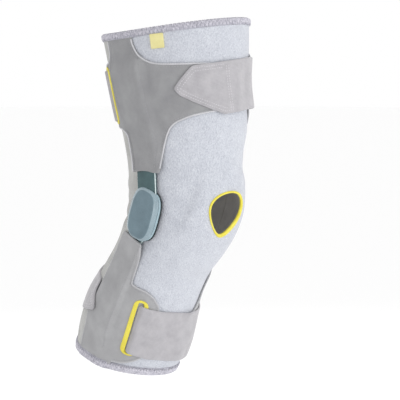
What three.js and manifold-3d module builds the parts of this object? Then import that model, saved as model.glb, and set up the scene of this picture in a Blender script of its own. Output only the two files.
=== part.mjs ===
// Hinged knee brace for a right leg, worn on a slightly bent knee. Millimetres, +Z up.
// The front of the knee faces -Y and the outer side of the leg -X; the origin is the knee's centre.
//
// Every piece is laid on one bent tube, the outer face of the sleeve, by three numbers:
//   around  degrees round the leg, 0 at the front, 90 on the outer side, 180 at the back
//   along   distance up the leg's axis from the knee, negative below it
//   lift    height above the sleeve's outer face
import * as THREE from 'three';
import Module from 'manifold-3d';

const wasm = await Module();
wasm.setup();

// Leg axis: two straight lengths joined by a circular bend at the knee
const THIGH_LEAN = 6;
const SHANK_LEAN = -27;
const BEND_HALF = 40;

// Sleeve sections: distance from the axis to the sleeve's outer face
const SECTIONS = [
  // along, front, back, outer, inner
  [-205, 38, 60, 44, 37],
  [-165, 44.5, 71, 50.5, 43.5],
  [-130, 44.5, 72, 52.5, 44.5],
  [-95, 38, 64.5, 51.5, 42],
  [-60, 37.5, 57.5, 50.5, 43],
  [-30, 47.7, 56.5, 53, 50],
  [0, 57, 56, 54.5, 54.5],
  [20, 57, 57.5, 55.5, 54.5],
  [45, 55.3, 56.5, 55.5, 54],
  [70, 62.5, 59, 57.5, 57.5],
  [105, 64.5, 65, 61.5, 60],
  [140, 69, 69.5, 66, 64.5],
  [175, 71.5, 74.5, 69.5, 68.5],
];
const SLEEVE_THICKNESS = 3;
const SEAM_AROUND = 86;
const SEAM_GAP_DEGREES = 0.3;
const KNEECAP = { around: -4, along: 10, height: 3, aroundReach: 26, alongReach: 20 };

// Hems: the top edge slants up to the inner side, the bottom edge down to the back
const TOP_EDGE = { middle: 170, swing: 4.8, peak: -75 };
const BOTTOM_EDGE = { middle: -175, swing: 13, peak: 8 };
const TOP_HEM_HEIGHT = 6.2;
const BOTTOM_HEM_HEIGHT = 7.7;
const HEM_UNDER = -3.6;
const HEM_PROUD = 0.8;
const HEM_ROUNDING = 1.2;
const HEM_STEPS = 34;

// Kneecap opening, a leaning egg, and its folded binding
const OPENING = { around: 1, along: 4, aroundHalf: 22, alongHalf: 14.5, lean: 2.5, egg: 0.14 };
const OPENING_STEPS = 32;
const OPENING_MARGIN_ALONG = 0.7;
const BINDING_THICKNESS = 0.9;
const BINDING_LAP = 2.2;
const BINDING_INNER_GAP = 1;

// Clearance between layers that touch, and how far a cutting tool runs past the faces it cuts
const GAP = 0.4;
const CUT_REACH = 8;

// Hinges, the same on both sides of the knee
const HINGE = { around: 86.5, along: -4 };
const PIVOT_OFFSET = 13;
const PIVOT_RADIUS = 4;
const PIVOT_SIDES = 12;
const PIVOT_FOOT = 0.9;
const ARM_HALF_WIDTH = { upper: 11.5, lower: 10 };
const ARM_THICKNESS = 2;
const ARM_LIFT_AT_HINGE = 2;
const ARM_LIFT_IN_POCKET = 0.6;
const ARM_LEVEL_REACH = 27;
const ARM_SETTLE_LENGTH = 25;
const ARM_TOP_ALONG = 126;
const ARM_BOTTOM_ALONG = -126;
const ARM_STOPS = [7, 14, 22, 34, 52, 76];
const ROUND_END_SHARES = [0.97, 0.8, 0.5, 0];
const ARM_PATH = [
  // along, around
  [-140, 100],
  [-90, 99.5],
  [-50, 97],
  [-34, 93.5],
  [-18, 87],
  [0, 84.5],
  [30, 85.5],
  [60, 89],
  [100, 95],
  [140, 96],
];

// Hinge housing: squarish ovals that lean back with the shank
const OVAL_POWER = 3;
const OVAL_STEPS = 20;
const OVAL_LEAN = 5;
const BASE_LAYERS = [
  // height, half width, half length
  [0.4, 17.8, 25.4],
  [1.4, 18.6, 26.2],
  [4.1, 17.8, 25.4],
  [4.6, 17.4, 25],
];
const BASE_FLOOR = 1.5;
const CHANNEL_MARGIN = 1;
const CHANNEL_END = 42;
const COVER_LAYERS = [
  // height, half width, half length
  [4.9, 17.1, 24.7],
  [5.5, 17.5, 25.1],
  [8, 14, 21.6],
  [8.6, 12.8, 20.4],
];

// Side panels: columns of around, as angles from the front of the leg, with their low and high ends
const PANEL_THICKNESS = 1.4;
const PANEL_GAP = 0.5;
const PANEL_STOPS = 7;
const PANEL_COLUMN_GAP = 9.5;
const POCKET_COLUMNS = { from: 70, to: 119, gap: 5 };
const POCKET_FLAT_HALF = { upper: 13.8, lower: 12.5 };
const POCKET_FADE = { upper: 9, lower: 7.5 };
const POCKET_SLACK = 0.5;
const POCKET_PAST_ARM = 9;
const POCKET_END_FADE = 14;
const TO_HEM = 200;
const PANELS = {
  outer_upper_panel: {
    side: 1,
    columns: [
      // around, low, high
      [-4, 100, 120],
      [-2, 92, 126],
      [6, 87, 129],
      [28, 84, 130.5],
      [40, 82, 131],
      [49, 79, 131.5],
      [56, 75, 132],
      [62, 70, 133],
      [66, 64, 134],
      [69.5, 56, 135.5],
      [72, 46, 137],
      [74.5, 36, 138.5],
      [80.5, 36, 143],
      [83, 36, 150],
      [83.8, 36, TO_HEM],
      [105, 36, TO_HEM],
      [106, 72, TO_HEM],
      [112, 75, TO_HEM],
      [113.5, 75.5, 145],
      [118, 76.5, 142],
      [128, 78.5, 141],
      [138, 82, 139.5],
      [143, 87, 135],
      [146, 95, 125],
    ],
  },
  inner_upper_panel: {
    side: -1,
    columns: [
      [34, 95, 130],
      [35.5, 90, 137],
      [38, 87, 141],
      [46, 83, 145],
      [57, 72, 149],
      [65, 62, 153],
      [71, 48, TO_HEM],
      [74.5, 36, TO_HEM],
      [105, 36, TO_HEM],
      [106, 72, TO_HEM],
      [112, 76, TO_HEM],
      [114, 78, 148],
      [122, 80, 142],
      [130, 88, 134],
      [133, 100, 120],
    ],
  },
  outer_lower_panel: {
    side: 1,
    columns: [
      [32.5, -126, -100],
      [33.5, -137, -89.5],
      [37, -142.5, -85.5],
      [42.5, -147.5, -81],
      [48, -151, -78.3],
      [56, -157, -76],
      [62, -TO_HEM, -75.8],
      [74, -TO_HEM, -75.5],
      [77.6, -TO_HEM, -74.5],
      [78.4, -TO_HEM, -66],
      [78.8, -TO_HEM, -48],
      [79.4, -TO_HEM, -33],
      [98, -TO_HEM, -32.5],
      [110, -TO_HEM, -34.5],
      [116, -TO_HEM, -40],
      [117.5, -125, -43],
      [119, -92, -47],
      [121, -66, -52],
    ],
  },
  inner_lower_panel: {
    side: -1,
    columns: [
      [1, -124, -108],
      [2.5, -133, -103],
      [8, -141, -99.5],
      [22, -146, -95],
      [32, -148.5, -85],
      [36, -149.4, -74],
      [42, -150.5, -63],
      [60, -156, -55],
      [68, -TO_HEM, -51],
      [73, -TO_HEM, -48],
      [80, -TO_HEM, -33],
      [98, -TO_HEM, -32.5],
      [110, -TO_HEM, -35],
      [116, -TO_HEM, -40],
      [117.5, -125, -43],
      [119, -92, -47],
      [121, -66, -52],
    ],
  },
};

// Slots: the yellow leg's angle, the middle and half height of the slot, and the way the strap leaves
const SLOTS = {
  upper_slot_ring: { panel: 'outer_upper_panel', around: 125.5, along: 110.5, half: 25.2, heading: 1 },
  lower_slot_ring: { panel: 'outer_lower_panel', around: 61.5, along: -115.5, half: 27.2, heading: -1 },
};
const SLOT_WIDTH = 7;
const SLOT_RING_WIDTH = 4.3;
const SLOT_RING_END_SHARE = 0.6;
const SLOT_RING_THICKNESS = 1;
const SLOT_RING_INSET = 0.3;
const SLOT_RING_BEVEL = 0.5;
const SLOT_ROUNDNESS = 5;
const SLOT_STEPS = 24;

// Straps: the middle line runs on past a whole turn; both start in a slot and end in a tip
const STRAP_THICKNESS = 1.8;
const STRAP_GAP = 0.9;
const STRAP_COLUMNS = 4;
const STRAP_INSET = 1.5;
const STRAP_START_STOPS = [0, 1.5, 3, 4.2, 5.4, 8, 11, 15];
const STRAP_EXIT = { start: 0.5, length: 4.8, clearance: 0.2, slope: 10 };
const STRAP_SPAN_DEGREES = 5;
const STRAP_LEDGE = { margin: 3.6, fade: 9 };
const STRAPS = {
  upper_strap: {
    slot: 'upper_slot_ring',
    width: 48.5,
    steps: 29,
    path: [
      // around, along
      [125, 110.5],
      [180, 110.5],
      [250, 113],
      [319, 113],
      [356, 108.5],
      [380, 105.5],
      [400, 104],
      [413.5, 103.5],
    ],
    tip: [
      // distance from the tip, then the upper and lower edge as shares of half the width
      [0, 0.26, -0.14],
      [2, 0.34, -0.04],
      [5, 0.53, 0.08],
      [14, 0.95, 0.31],
      [16.5, 1, 0.37],
      [24, 1, 0.55],
      [32.5, 1, 0.74],
      [40, 1, 0.9],
      [46, 1, 1],
    ],
  },
  lower_strap: {
    slot: 'lower_slot_ring',
    width: 50.4,
    steps: 24,
    path: [
      [64, -115.5],
      [0, -117],
      [-45, -119],
      [-90, -121],
      [-135, -122.5],
      [-180, -124],
      [-205, -120.5],
      [-222, -113.5],
      [-238, -103.5],
    ],
    tip: [
      [0, -0.8, 0.9],
      [1.2, -0.24, 0.95],
      [6, 0.1, 1],
      [11.5, 0.33, 1],
      [17.5, 0.55, 1],
      [23, 0.7, 1],
      [29, 0.86, 1],
      [35, 1, 1],
    ],
  },
};

const LABEL = { around: 62.8, along: 153.2, halfWidth: 6.6, halfHeight: 6.4, thickness: 0.8 };
const LABEL_GRID = { rows: 3, columns: 4 };

// Grids of the sleeve halves; crowding brings the rows of one closer together at the knee
const FRONT_GRID = { rows: 20, columns: 17, crowding: 0.25 };
const BACK_GRID = { rows: 18, columns: 17 };

const COLOURS = {
  front: { color: 0xd2d5de, roughness: 0.95, metalness: 0 },
  back: { color: 0xb8b4ae, roughness: 0.95, metalness: 0 },
  hem: { color: 0x9c9eac, roughness: 0.95, metalness: 0 },
  panel: { color: 0x9b9b9c, roughness: 0.9, metalness: 0 },
  strap: { color: 0xc8c6ca, roughness: 0.85, metalness: 0 },
  yellow: { color: 0xf2e64b, roughness: 0.6, metalness: 0 },
  label: { color: 0xf2ee8c, roughness: 0.8, metalness: 0 },
  cover: { color: 0x6f858f, roughness: 0.5, metalness: 0 },
  arm: { color: 0x52676a, roughness: 0.4, metalness: 0.6 },
};

const radians = THREE.MathUtils.degToRad;
const smooth = (value) => THREE.MathUtils.smoothstep(value, 0, 1);
const range = (count, make) => Array.from({ length: count }, (_, i) => make(i));
const loopTurn = (step, steps) => (2 * Math.PI * (step + 0.5)) / steps;

// Sine or cosine of an oval; above a power of 2 its sides grow flatter and its ends squarer
const squared = (value, power) => Math.sign(value) * Math.abs(value) ** (2 / power);

// Smooth curve through a table whose first column rises or falls steadily; gives the other columns
function tableAt(table, key) {
  const rows = table[0][0] < table[table.length - 1][0] ? table : [...table].reverse();
  const last = rows.length - 2;
  const i = Math.min(last, Math.max(0, rows.findIndex((row) => row[0] > key) - 1));
  const k = key >= rows[last + 1][0] ? last : i;
  const [a, b] = [rows[k], rows[k + 1]];
  const slope = (j, column) => {
    const before = rows[Math.max(0, j - 1)];
    const after = rows[Math.min(rows.length - 1, j + 1)];
    return (after[column] - before[column]) / (after[0] - before[0]);
  };
  const step = b[0] - a[0];
  const t = THREE.MathUtils.clamp((key - a[0]) / step, 0, 1);
  return a.slice(1).map((start, c) => {
    const end = b[c + 1];
    const [leave, arrive] = [slope(k, c + 1) * step, slope(k + 1, c + 1) * step];
    const bend = (1 - t) * leave - t * arrive + (2 * t - 1) * (end - start);
    return start + (end - start) * t + t * (1 - t) * bend;
  });
}

// Centre of the axis and its lean at a distance along the leg
function axisAt(along) {
  const middle = radians((THIGH_LEAN + SHANK_LEAN) / 2);
  const radius = (2 * BEND_HALF) / radians(THIGH_LEAN - SHANK_LEAN);
  const bent = THREE.MathUtils.clamp(along, -BEND_HALF, BEND_HALF);
  const lean = middle + bent / radius;
  const straight = along - bent;
  return {
    lean,
    y: radius * (Math.cos(middle) - Math.cos(lean)) + straight * Math.sin(lean),
    z: radius * (Math.sin(lean) - Math.sin(middle)) + straight * Math.cos(lean),
  };
}

const wrapDegrees = (angle) => angle - 360 * Math.round(angle / 360);

// Place on the brace from around, along and lift
function place(around, along, lift) {
  const { lean, y, z } = axisAt(along);
  const [front, back, outer, inner] = tableAt(SECTIONS, along);
  const turn = radians(around);
  const [sin, cos] = [Math.sin(turn), Math.cos(turn)];
  const depth = cos > 0 ? front : back;
  const width = sin > 0 ? outer : inner;
  const bumpAround = wrapDegrees(around - KNEECAP.around) / KNEECAP.aroundReach;
  const bumpAlong = (along - KNEECAP.along) / KNEECAP.alongReach;
  const bump = KNEECAP.height * Math.exp(-bumpAround * bumpAround - bumpAlong * bumpAlong);
  const scale = (lift + bump) / Math.hypot(depth * sin, width * cos);
  const sideways = width * sin + depth * sin * scale;
  const forward = depth * cos + width * cos * scale;
  return new THREE.Vector3(-sideways, y - forward * Math.cos(lean), z + forward * Math.sin(lean));
}

// Millimetres covered by one degree round the leg
function degreeLength(around, along) {
  return place(around - 0.5, along, 0).distanceTo(place(around + 0.5, along, 0));
}

function edgeAt({ middle, swing, peak }, around) {
  return middle + swing * Math.cos(radians(around - peak));
}

const topSeam = (around) => edgeAt(TOP_EDGE, around) - TOP_HEM_HEIGHT - GAP;
const bottomSeam = (around) => edgeAt(BOTTOM_EDGE, around) + BOTTOM_HEM_HEIGHT + GAP;
const betweenHems = (around, along) => THREE.MathUtils.clamp(along, bottomSeam(around), topSeam(around));

// Closed body through cross sections, each a ring of points whose halves face each other
function skin(sections, loop = false) {
  const size = sections[0].length;
  const count = sections.length;
  const index = [];
  const quad = (a, b, c, d) => index.push(a, b, c, a, c, d);
  for (let i = 0; i < (loop ? count : count - 1); i += 1) {
    const next = ((i + 1) % count) * size;
    for (let j = 0; j < size; j += 1) {
      const k = (j + 1) % size;
      quad(i * size + j, i * size + k, next + k, next + j);
    }
  }
  if (!loop) {
    const end = (count - 1) * size;
    for (let j = 0; j < size / 2 - 1; j += 1) {
      const facing = size - 1 - j;
      quad(j, facing, facing - 1, j + 1);
      quad(end + j, end + j + 1, end + facing - 1, end + facing);
    }
  }
  const points = sections.flat();
  const geometry = new THREE.BufferGeometry().setFromPoints(points);
  geometry.setIndex(signedVolume(points, index) < 0 ? index.reverse() : index);
  return geometry;
}

function signedVolume(points, index) {
  let sum = 0;
  const across = new THREE.Vector3();
  for (let i = 0; i < index.length; i += 3) {
    const [a, b, c] = index.slice(i, i + 3).map((corner) => points[corner]);
    sum += a.dot(across.crossVectors(b, c));
  }
  return sum / 6;
}

// Sheet between an under and an upper lift; spot(row, column) gives around, along, under and upper
function sheet(rowCount, columnCount, spot) {
  return skin(range(rowCount, (row) => {
    const spots = range(columnCount, (column) => spot(row, column));
    const upper = spots.map(([around, along, , lift]) => place(around, along, lift));
    const under = spots.map(([around, along, lift]) => place(around, along, lift));
    return [...upper, ...under.reverse()];
  }));
}

function solidOf(geometry) {
  const vertProperties = new Float32Array(geometry.attributes.position.array);
  const triVerts = new Uint32Array(geometry.index.array);
  return new wasm.Manifold(new wasm.Mesh({ numProp: 3, vertProperties, triVerts }));
}

function geometryOf(solid) {
  const { vertProperties, triVerts } = solid.getMesh();
  const geometry = new THREE.BufferGeometry();
  geometry.setAttribute('position', new THREE.BufferAttribute(vertProperties, 3));
  geometry.setIndex(new THREE.BufferAttribute(triVerts, 1));
  return geometry;
}

const cut = (body, tool) => geometryOf(solidOf(body).subtract(solidOf(tool)));
const join = (body, other) => geometryOf(solidOf(body).add(solidOf(other)));

// Sleeve

function sleeveHalf(fromAround, toAround, { rows, columns, crowding = 0 }) {
  return sheet(rows, columns, (row, column) => {
    const around = THREE.MathUtils.lerp(fromAround, toAround, column / (columns - 1));
    const turn = (2 * Math.PI * row) / (rows - 1);
    const share = (turn + crowding * Math.sin(turn)) / (2 * Math.PI);
    const along = THREE.MathUtils.lerp(bottomSeam(around), topSeam(around), share);
    return [around, along, -SLEEVE_THICKNESS, 0];
  });
}

// Outline of the kneecap opening, grown by a margin in millimetres
function openingEdge(turn, margin) {
  const aroundHalf = OPENING.aroundHalf + margin / degreeLength(OPENING.around, OPENING.along);
  const alongHalf = OPENING.alongHalf + margin * OPENING_MARGIN_ALONG;
  const sideways = Math.cos(turn);
  return {
    around: OPENING.around + aroundHalf * sideways * (1 + OPENING.egg * Math.sin(turn)),
    along: OPENING.along + alongHalf * Math.sin(turn) - OPENING.lean * sideways,
  };
}

function openingRing(margin, lift) {
  return range(OPENING_STEPS, (step) => {
    const { around, along } = openingEdge(loopTurn(step, OPENING_STEPS), margin);
    return place(around, along, lift);
  });
}

function openingPlug() {
  const inside = -SLEEVE_THICKNESS - CUT_REACH;
  return skin([openingRing(0, inside), openingRing(0, CUT_REACH)]);
}

function kneecapRing() {
  const outside = GAP + BINDING_THICKNESS;
  const innerFace = -SLEEVE_THICKNESS - BINDING_INNER_GAP;
  const inside = innerFace - BINDING_THICKNESS;
  const profile = [
    // margin from the opening's edge, lift
    [BINDING_LAP, outside],
    [-outside, outside],
    [-outside, inside],
    [BINDING_LAP, inside],
    [BINDING_LAP, innerFace],
    [-GAP, innerFace],
    [-GAP, GAP],
    [BINDING_LAP, GAP],
  ];
  const rings = profile.map(([margin, lift]) => openingRing(margin, lift));
  return skin(range(OPENING_STEPS, (step) => rings.map((ring) => ring[step])), true);
}

function hem(edge, height) {
  const side = Math.sign(edge.middle);
  const profile = [
    // distance in from the edge, lift
    [0, HEM_UNDER],
    [0, HEM_PROUD - HEM_ROUNDING],
    [HEM_ROUNDING, HEM_PROUD],
    [height, HEM_PROUD],
    [height, HEM_UNDER],
  ];
  return skin(range(HEM_STEPS, (step) => {
    const around = (360 * step) / HEM_STEPS;
    return profile.map(([inward, lift]) => place(around, edgeAt(edge, around) - side * inward, lift));
  }), true);
}

// Hinges

const armAround = (along) => tableAt(ARM_PATH, along)[0];

function armLift(along) {
  const beyondHousing = Math.abs(along - HINGE.along) - ARM_LEVEL_REACH;
  const settled = smooth(beyondHousing / ARM_SETTLE_LENGTH);
  return THREE.MathUtils.lerp(ARM_LIFT_AT_HINGE, ARM_LIFT_IN_POCKET, settled);
}

// Flat bar that follows the hinge arm's path; rows give along, half width, underside and top
function bar(side, rows) {
  return skin(rows.map(([along, halfWidth, under, top]) => {
    const around = side * armAround(along);
    const middle = place(around, along, 0);
    const normal = place(around, along, 1).sub(middle);
    const across = place(around + 1, along, 0).sub(place(around - 1, along, 0));
    across.addScaledVector(normal, -across.dot(normal)).normalize();
    const corner = (lift, share) => middle.clone()
      .addScaledVector(normal, lift)
      .addScaledVector(across, share * halfWidth);
    return [corner(top, -1), corner(top, 1), corner(under, 1), corner(under, -1)];
  }));
}

// Rows of a hinge arm: a round end on its pivot, then an even width to the far end
function armRows({ end, margin, under, top }) {
  const away = Math.sign(end);
  const pivot = HINGE.along + away * PIVOT_OFFSET;
  const halfWidth = margin + (away > 0 ? ARM_HALF_WIDTH.upper : ARM_HALF_WIDTH.lower);
  const roundEnd = ROUND_END_SHARES.map((share) => {
    const width = halfWidth * Math.sqrt(1 - share * share);
    return [pivot - away * share * halfWidth, width];
  });
  const length = Math.abs(end - pivot);
  const stops = [...ARM_STOPS.filter((stop) => stop < length), length];
  const straight = stops.map((stop) => [pivot + away * stop, halfWidth]);
  return [...roundEnd, ...straight].map(([along, width]) => [along, width, under(along), top(along)]);
}

function hingeFrame(side) {
  const around = side * HINGE.around;
  const origin = place(around, HINGE.along, 0);
  const normal = place(around, HINGE.along, 1).sub(origin).normalize();
  const up = place(around, HINGE.along + 1, 0).sub(place(around, HINGE.along - 1, 0)).normalize();
  const across = new THREE.Vector3().crossVectors(up, normal).normalize();
  return new THREE.Matrix4().makeBasis(across, up, normal).setPosition(origin);
}

// Stack of ovals in the plane of the hinge
function ovalStack(side, layers) {
  const frame = hingeFrame(side).multiply(new THREE.Matrix4().makeRotationZ(-side * radians(OVAL_LEAN)));
  return skin(layers.map(([height, halfWidth, halfLength]) => range(OVAL_STEPS, (step) => {
    const turn = loopTurn(step, OVAL_STEPS);
    const rise = squared(Math.sin(turn), OVAL_POWER);
    const across = halfWidth * squared(Math.cos(turn), OVAL_POWER);
    return new THREE.Vector3(across, halfLength * rise, height).applyMatrix4(frame);
  })));
}

// Round peg through an arm's pivot, standing along the arm's own normal there
function pivotPeg(side, away, radius, under, top) {
  const along = HINGE.along + away * PIVOT_OFFSET;
  const around = side * armAround(along);
  const middle = place(around, along, 0);
  const normal = place(around, along, 1).sub(middle).normalize();
  const peg = new THREE.CylinderGeometry(radius, radius, top - under, PIVOT_SIDES);
  const stand = new THREE.Quaternion().setFromUnitVectors(new THREE.Vector3(0, 1, 0), normal);
  peg.applyQuaternion(stand);
  const centre = middle.addScaledVector(normal, (under + top) / 2);
  peg.translate(centre.x, centre.y, centre.z);
  return weld(peg);
}

// Same shape with its shared corners made one
function weld(geometry) {
  const points = [];
  const places = new Map();
  const position = geometry.attributes.position;
  const merged = range(position.count, (i) => {
    const point = new THREE.Vector3().fromBufferAttribute(position, i);
    const key = point.toArray().map((value) => value.toFixed(4)).join(' ');
    if (!places.has(key)) {
      places.set(key, points.push(point) - 1);
    }
    return places.get(key);
  });
  const welded = new THREE.BufferGeometry().setFromPoints(points);
  return welded.setIndex(Array.from(geometry.index.array, (corner) => merged[corner]));
}

function hingeArm(side, end) {
  const top = (along) => armLift(along) + ARM_THICKNESS;
  const arm = bar(side, armRows({ end, margin: 0, under: armLift, top }));
  return cut(arm, pivotPeg(side, Math.sign(end), PIVOT_RADIUS + GAP, -CUT_REACH, CUT_REACH));
}

function hingeBase(side) {
  const channel = { margin: CHANNEL_MARGIN, under: () => BASE_FLOOR, top: () => CUT_REACH };
  const pegTop = ARM_LIFT_AT_HINGE + ARM_THICKNESS;
  let base = ovalStack(side, BASE_LAYERS);
  for (const away of [1, -1]) {
    base = cut(base, bar(side, armRows({ ...channel, end: away * CHANNEL_END })));
    base = join(base, pivotPeg(side, away, PIVOT_RADIUS, PIVOT_FOOT, pegTop));
  }
  return base;
}

// Side panels

// Height that a panel's underside keeps over the arm in its pocket
function pocketRise(across, along) {
  const aside = Math.abs(across - armAround(along));
  const arm = along > 0 ? 'upper' : 'lower';
  const armEnd = along > 0 ? ARM_TOP_ALONG : -ARM_BOTTOM_ALONG;
  const reach = 1 - smooth((Math.abs(along) - armEnd - POCKET_PAST_ARM) / POCKET_END_FADE);
  const flat = Math.min(aside, POCKET_FLAT_HALF[arm]);
  const outerRadius = tableAt(SECTIONS, along)[2];
  const bow = (radians(flat) ** 2 * outerRadius) / 2;
  const fade = 1 - smooth((aside - POCKET_FLAT_HALF[arm]) / POCKET_FADE[arm]);
  return reach * fade * (armLift(along) + ARM_THICKNESS + POCKET_SLACK + bow);
}

const panelUnder = (across, along) => PANEL_GAP + pocketRise(across, along);

// Table of columns with more put in wherever two stand too far apart
function denseColumns(columns) {
  const dense = [columns[0]];
  columns.slice(1).forEach((column, i) => {
    const before = columns[i];
    const overPocket = before[0] >= POCKET_COLUMNS.from && column[0] <= POCKET_COLUMNS.to;
    const gap = overPocket ? POCKET_COLUMNS.gap : PANEL_COLUMN_GAP;
    const pieces = Math.ceil((column[0] - before[0]) / gap);
    for (let piece = 1; piece <= pieces; piece += 1) {
      dense.push(before.map((value, c) => THREE.MathUtils.lerp(value, column[c], piece / pieces)));
    }
  });
  return dense;
}

function panel({ side, columns }) {
  const dense = denseColumns(columns);
  return sheet(dense.length, PANEL_STOPS, (row, stop) => {
    const [across, low, high] = dense[row];
    const around = side * across;
    const [from, to] = [betweenHems(around, low), betweenHems(around, high)];
    const along = THREE.MathUtils.lerp(from, to, stop / (PANEL_STOPS - 1));
    const under = panelUnder(across, along);
    return [around, along, under, under + PANEL_THICKNESS];
  });
}

// Slots

// Rounded loop round a slot, grown by a margin; the slot lies ahead of its yellow leg
function slotLoop({ around, along, half, heading }, margin, lift) {
  const perDegree = degreeLength(around, along);
  const middle = around + (heading * (SLOT_RING_WIDTH + SLOT_WIDTH)) / 2 / perDegree;
  return range(SLOT_STEPS, (step) => {
    const turn = loopTurn(step, SLOT_STEPS);
    const across = (SLOT_WIDTH / 2 + margin) * squared(Math.cos(turn), SLOT_ROUNDNESS);
    const up = (half + margin * SLOT_RING_END_SHARE) * squared(Math.sin(turn), SLOT_ROUNDNESS);
    return place(middle + across / perDegree, along + up, lift);
  });
}

const slotPlug = (slot) => skin([-CUT_REACH, CUT_REACH].map((lift) => slotLoop(slot, 0, lift)));

function slotRing(slot) {
  const seat = PANEL_GAP + PANEL_THICKNESS + GAP;
  const top = seat + SLOT_RING_THICKNESS;
  const profile = [
    // margin from the slot's edge, lift
    [SLOT_RING_INSET, seat],
    [SLOT_RING_INSET, top - SLOT_RING_BEVEL],
    [SLOT_RING_INSET + SLOT_RING_BEVEL, top],
    [SLOT_RING_WIDTH - SLOT_RING_BEVEL, top],
    [SLOT_RING_WIDTH, top - SLOT_RING_BEVEL],
    [SLOT_RING_WIDTH, seat],
  ];
  const loops = profile.map(([margin, lift]) => slotLoop(slot, margin, lift));
  return skin(range(SLOT_STEPS, (step) => loops.map((loop) => loop[step])), true);
}

// Straps

// Height of one panel's top under a strap, fading out past the panel's edges
function panelTop({ side, columns }, around, along) {
  const across = wrapDegrees(around) * side;
  const fade = (inside) => smooth(1 + (inside + STRAP_LEDGE.margin) / STRAP_LEDGE.fade);
  const next = columns.findIndex((column) => column[0] > across);
  const after = columns[next < 0 ? columns.length - 1 : next];
  const before = columns[next < 0 ? columns.length - 1 : Math.max(0, next - 1)];
  const low = Math.min(before[1], after[1]);
  const high = Math.max(before[2], after[2]);
  const sides = fade(across - columns[0][0]) * fade(columns[columns.length - 1][0] - across);
  const ends = fade(along - low) * fade(high - along);
  return sides * ends * (panelUnder(across, along) + PANEL_THICKNESS);
}

// Top of what a tight strap spans at one place
function layersTop(around, along) {
  const panels = Object.values(PANELS);
  const span = [around - STRAP_SPAN_DEGREES, around, around + STRAP_SPAN_DEGREES];
  return Math.max(...span.flatMap((near) => panels.map((entry) => panelTop(entry, near, along))));
}

// Lift of a strap as it comes out of its slot and passes over the far leg of the slot's ring
function slotRise(distance) {
  const ringTop = PANEL_GAP + PANEL_THICKNESS + GAP + SLOT_RING_THICKNESS;
  const out = smooth((distance - STRAP_EXIT.start) / STRAP_EXIT.length);
  const down = smooth((distance - SLOT_WIDTH - SLOT_RING_WIDTH) / STRAP_EXIT.slope);
  return { out, over: (ringTop + STRAP_EXIT.clearance) * (1 - down) };
}

function strap({ slot, width, steps, path, tip }) {
  const { around: leg, along: middle, heading } = SLOTS[slot];
  const slotDegree = degreeLength(leg, middle);
  const start = leg + (heading * (SLOT_RING_WIDTH / 2 + STRAP_INSET)) / slotDegree;
  const [end, endAlong] = path[path.length - 1];
  const tipDegree = degreeLength(end, endAlong);
  const tipLength = tip[tip.length - 1][0];
  const startStops = STRAP_START_STOPS.map((mm) => start + (heading * mm) / slotDegree);
  const tipStops = tip.map(([mm]) => end - (heading * mm) / tipDegree).reverse();
  const from = startStops[startStops.length - 1];
  const between = range(steps - 1, (i) => THREE.MathUtils.lerp(from, tipStops[0], (i + 1) / steps));
  const stops = [...startStops, ...between, ...tipStops];
  const rows = stops.map((around) => {
    const centre = tableAt(path, around)[0];
    const climb = tableAt(path, around + 0.5)[0] - tableAt(path, around - 0.5)[0];
    const degree = degreeLength(around, centre);
    const slant = Math.hypot(degree, climb);
    const toTip = Math.abs(end - around) * tipDegree;
    const [upper, lower] = toTip < tipLength ? tableAt(tip, toTip) : [1, 1];
    const spots = range(STRAP_COLUMNS, (column) => {
      const share = THREE.MathUtils.lerp(-lower, upper, column / (STRAP_COLUMNS - 1));
      const reach = (share * width) / 2;
      return [around - (reach * climb) / slant / degree, centre + (reach * degree) / slant];
    });
    const { out, over } = slotRise(Math.abs(around - start) * slotDegree);
    const carried = Math.max(over, ...spots.map(([spotAround, along]) => layersTop(spotAround, along)));
    const lift = GAP + out * (carried + STRAP_GAP - GAP);
    return spots.map(([spotAround, along]) => [spotAround, along, lift, lift + STRAP_THICKNESS]);
  });
  return sheet(rows.length, STRAP_COLUMNS, (row, column) => rows[row][column]);
}

function labelTab() {
  const { around, along, halfWidth, halfHeight, thickness } = LABEL;
  const perDegree = degreeLength(around, along);
  const { rows, columns } = LABEL_GRID;
  return sheet(rows, columns, (row, column) => {
    const across = THREE.MathUtils.lerp(-halfWidth, halfWidth, column / (columns - 1));
    const up = THREE.MathUtils.lerp(-halfHeight, halfHeight, row / (rows - 1));
    return [around + across / perDegree, along + up, GAP, GAP + thickness];
  });
}

// Assembly

const brace = new THREE.Group();

function addPart(name, geometry, finish) {
  const mesh = new THREE.Mesh(geometry, new THREE.MeshStandardMaterial(COLOURS[finish]));
  mesh.name = name;
  brace.add(mesh);
}

const backStart = SEAM_AROUND + SEAM_GAP_DEGREES;
const frontHalf = sleeveHalf(-SEAM_AROUND, SEAM_AROUND, FRONT_GRID);
addPart('sleeve_front', cut(frontHalf, openingPlug()), 'front');
addPart('sleeve_back', sleeveHalf(backStart, 360 - backStart, BACK_GRID), 'back');
addPart('top_hem', hem(TOP_EDGE, TOP_HEM_HEIGHT), 'hem');
addPart('bottom_hem', hem(BOTTOM_EDGE, BOTTOM_HEM_HEIGHT), 'hem');
addPart('kneecap_ring', kneecapRing(), 'yellow');
addPart('label_tab', labelTab(), 'label');

for (const [name, layout] of Object.entries(PANELS)) {
  const slot = Object.values(SLOTS).find((entry) => entry.panel === name);
  const whole = panel(layout);
  addPart(name, slot ? cut(whole, slotPlug(slot)) : whole, 'panel');
}

for (const [name, slot] of Object.entries(SLOTS)) {
  addPart(name, slotRing(slot), 'yellow');
}

for (const [prefix, side] of [['outer', 1], ['inner', -1]]) {
  addPart(`${prefix}_hinge_base`, hingeBase(side), 'cover');
  addPart(`${prefix}_hinge_cover`, ovalStack(side, COVER_LAYERS), 'cover');
  addPart(`${prefix}_arm_upper`, hingeArm(side, ARM_TOP_ALONG), 'arm');
  addPart(`${prefix}_arm_lower`, hingeArm(side, ARM_BOTTOM_ALONG), 'arm');
}

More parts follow.
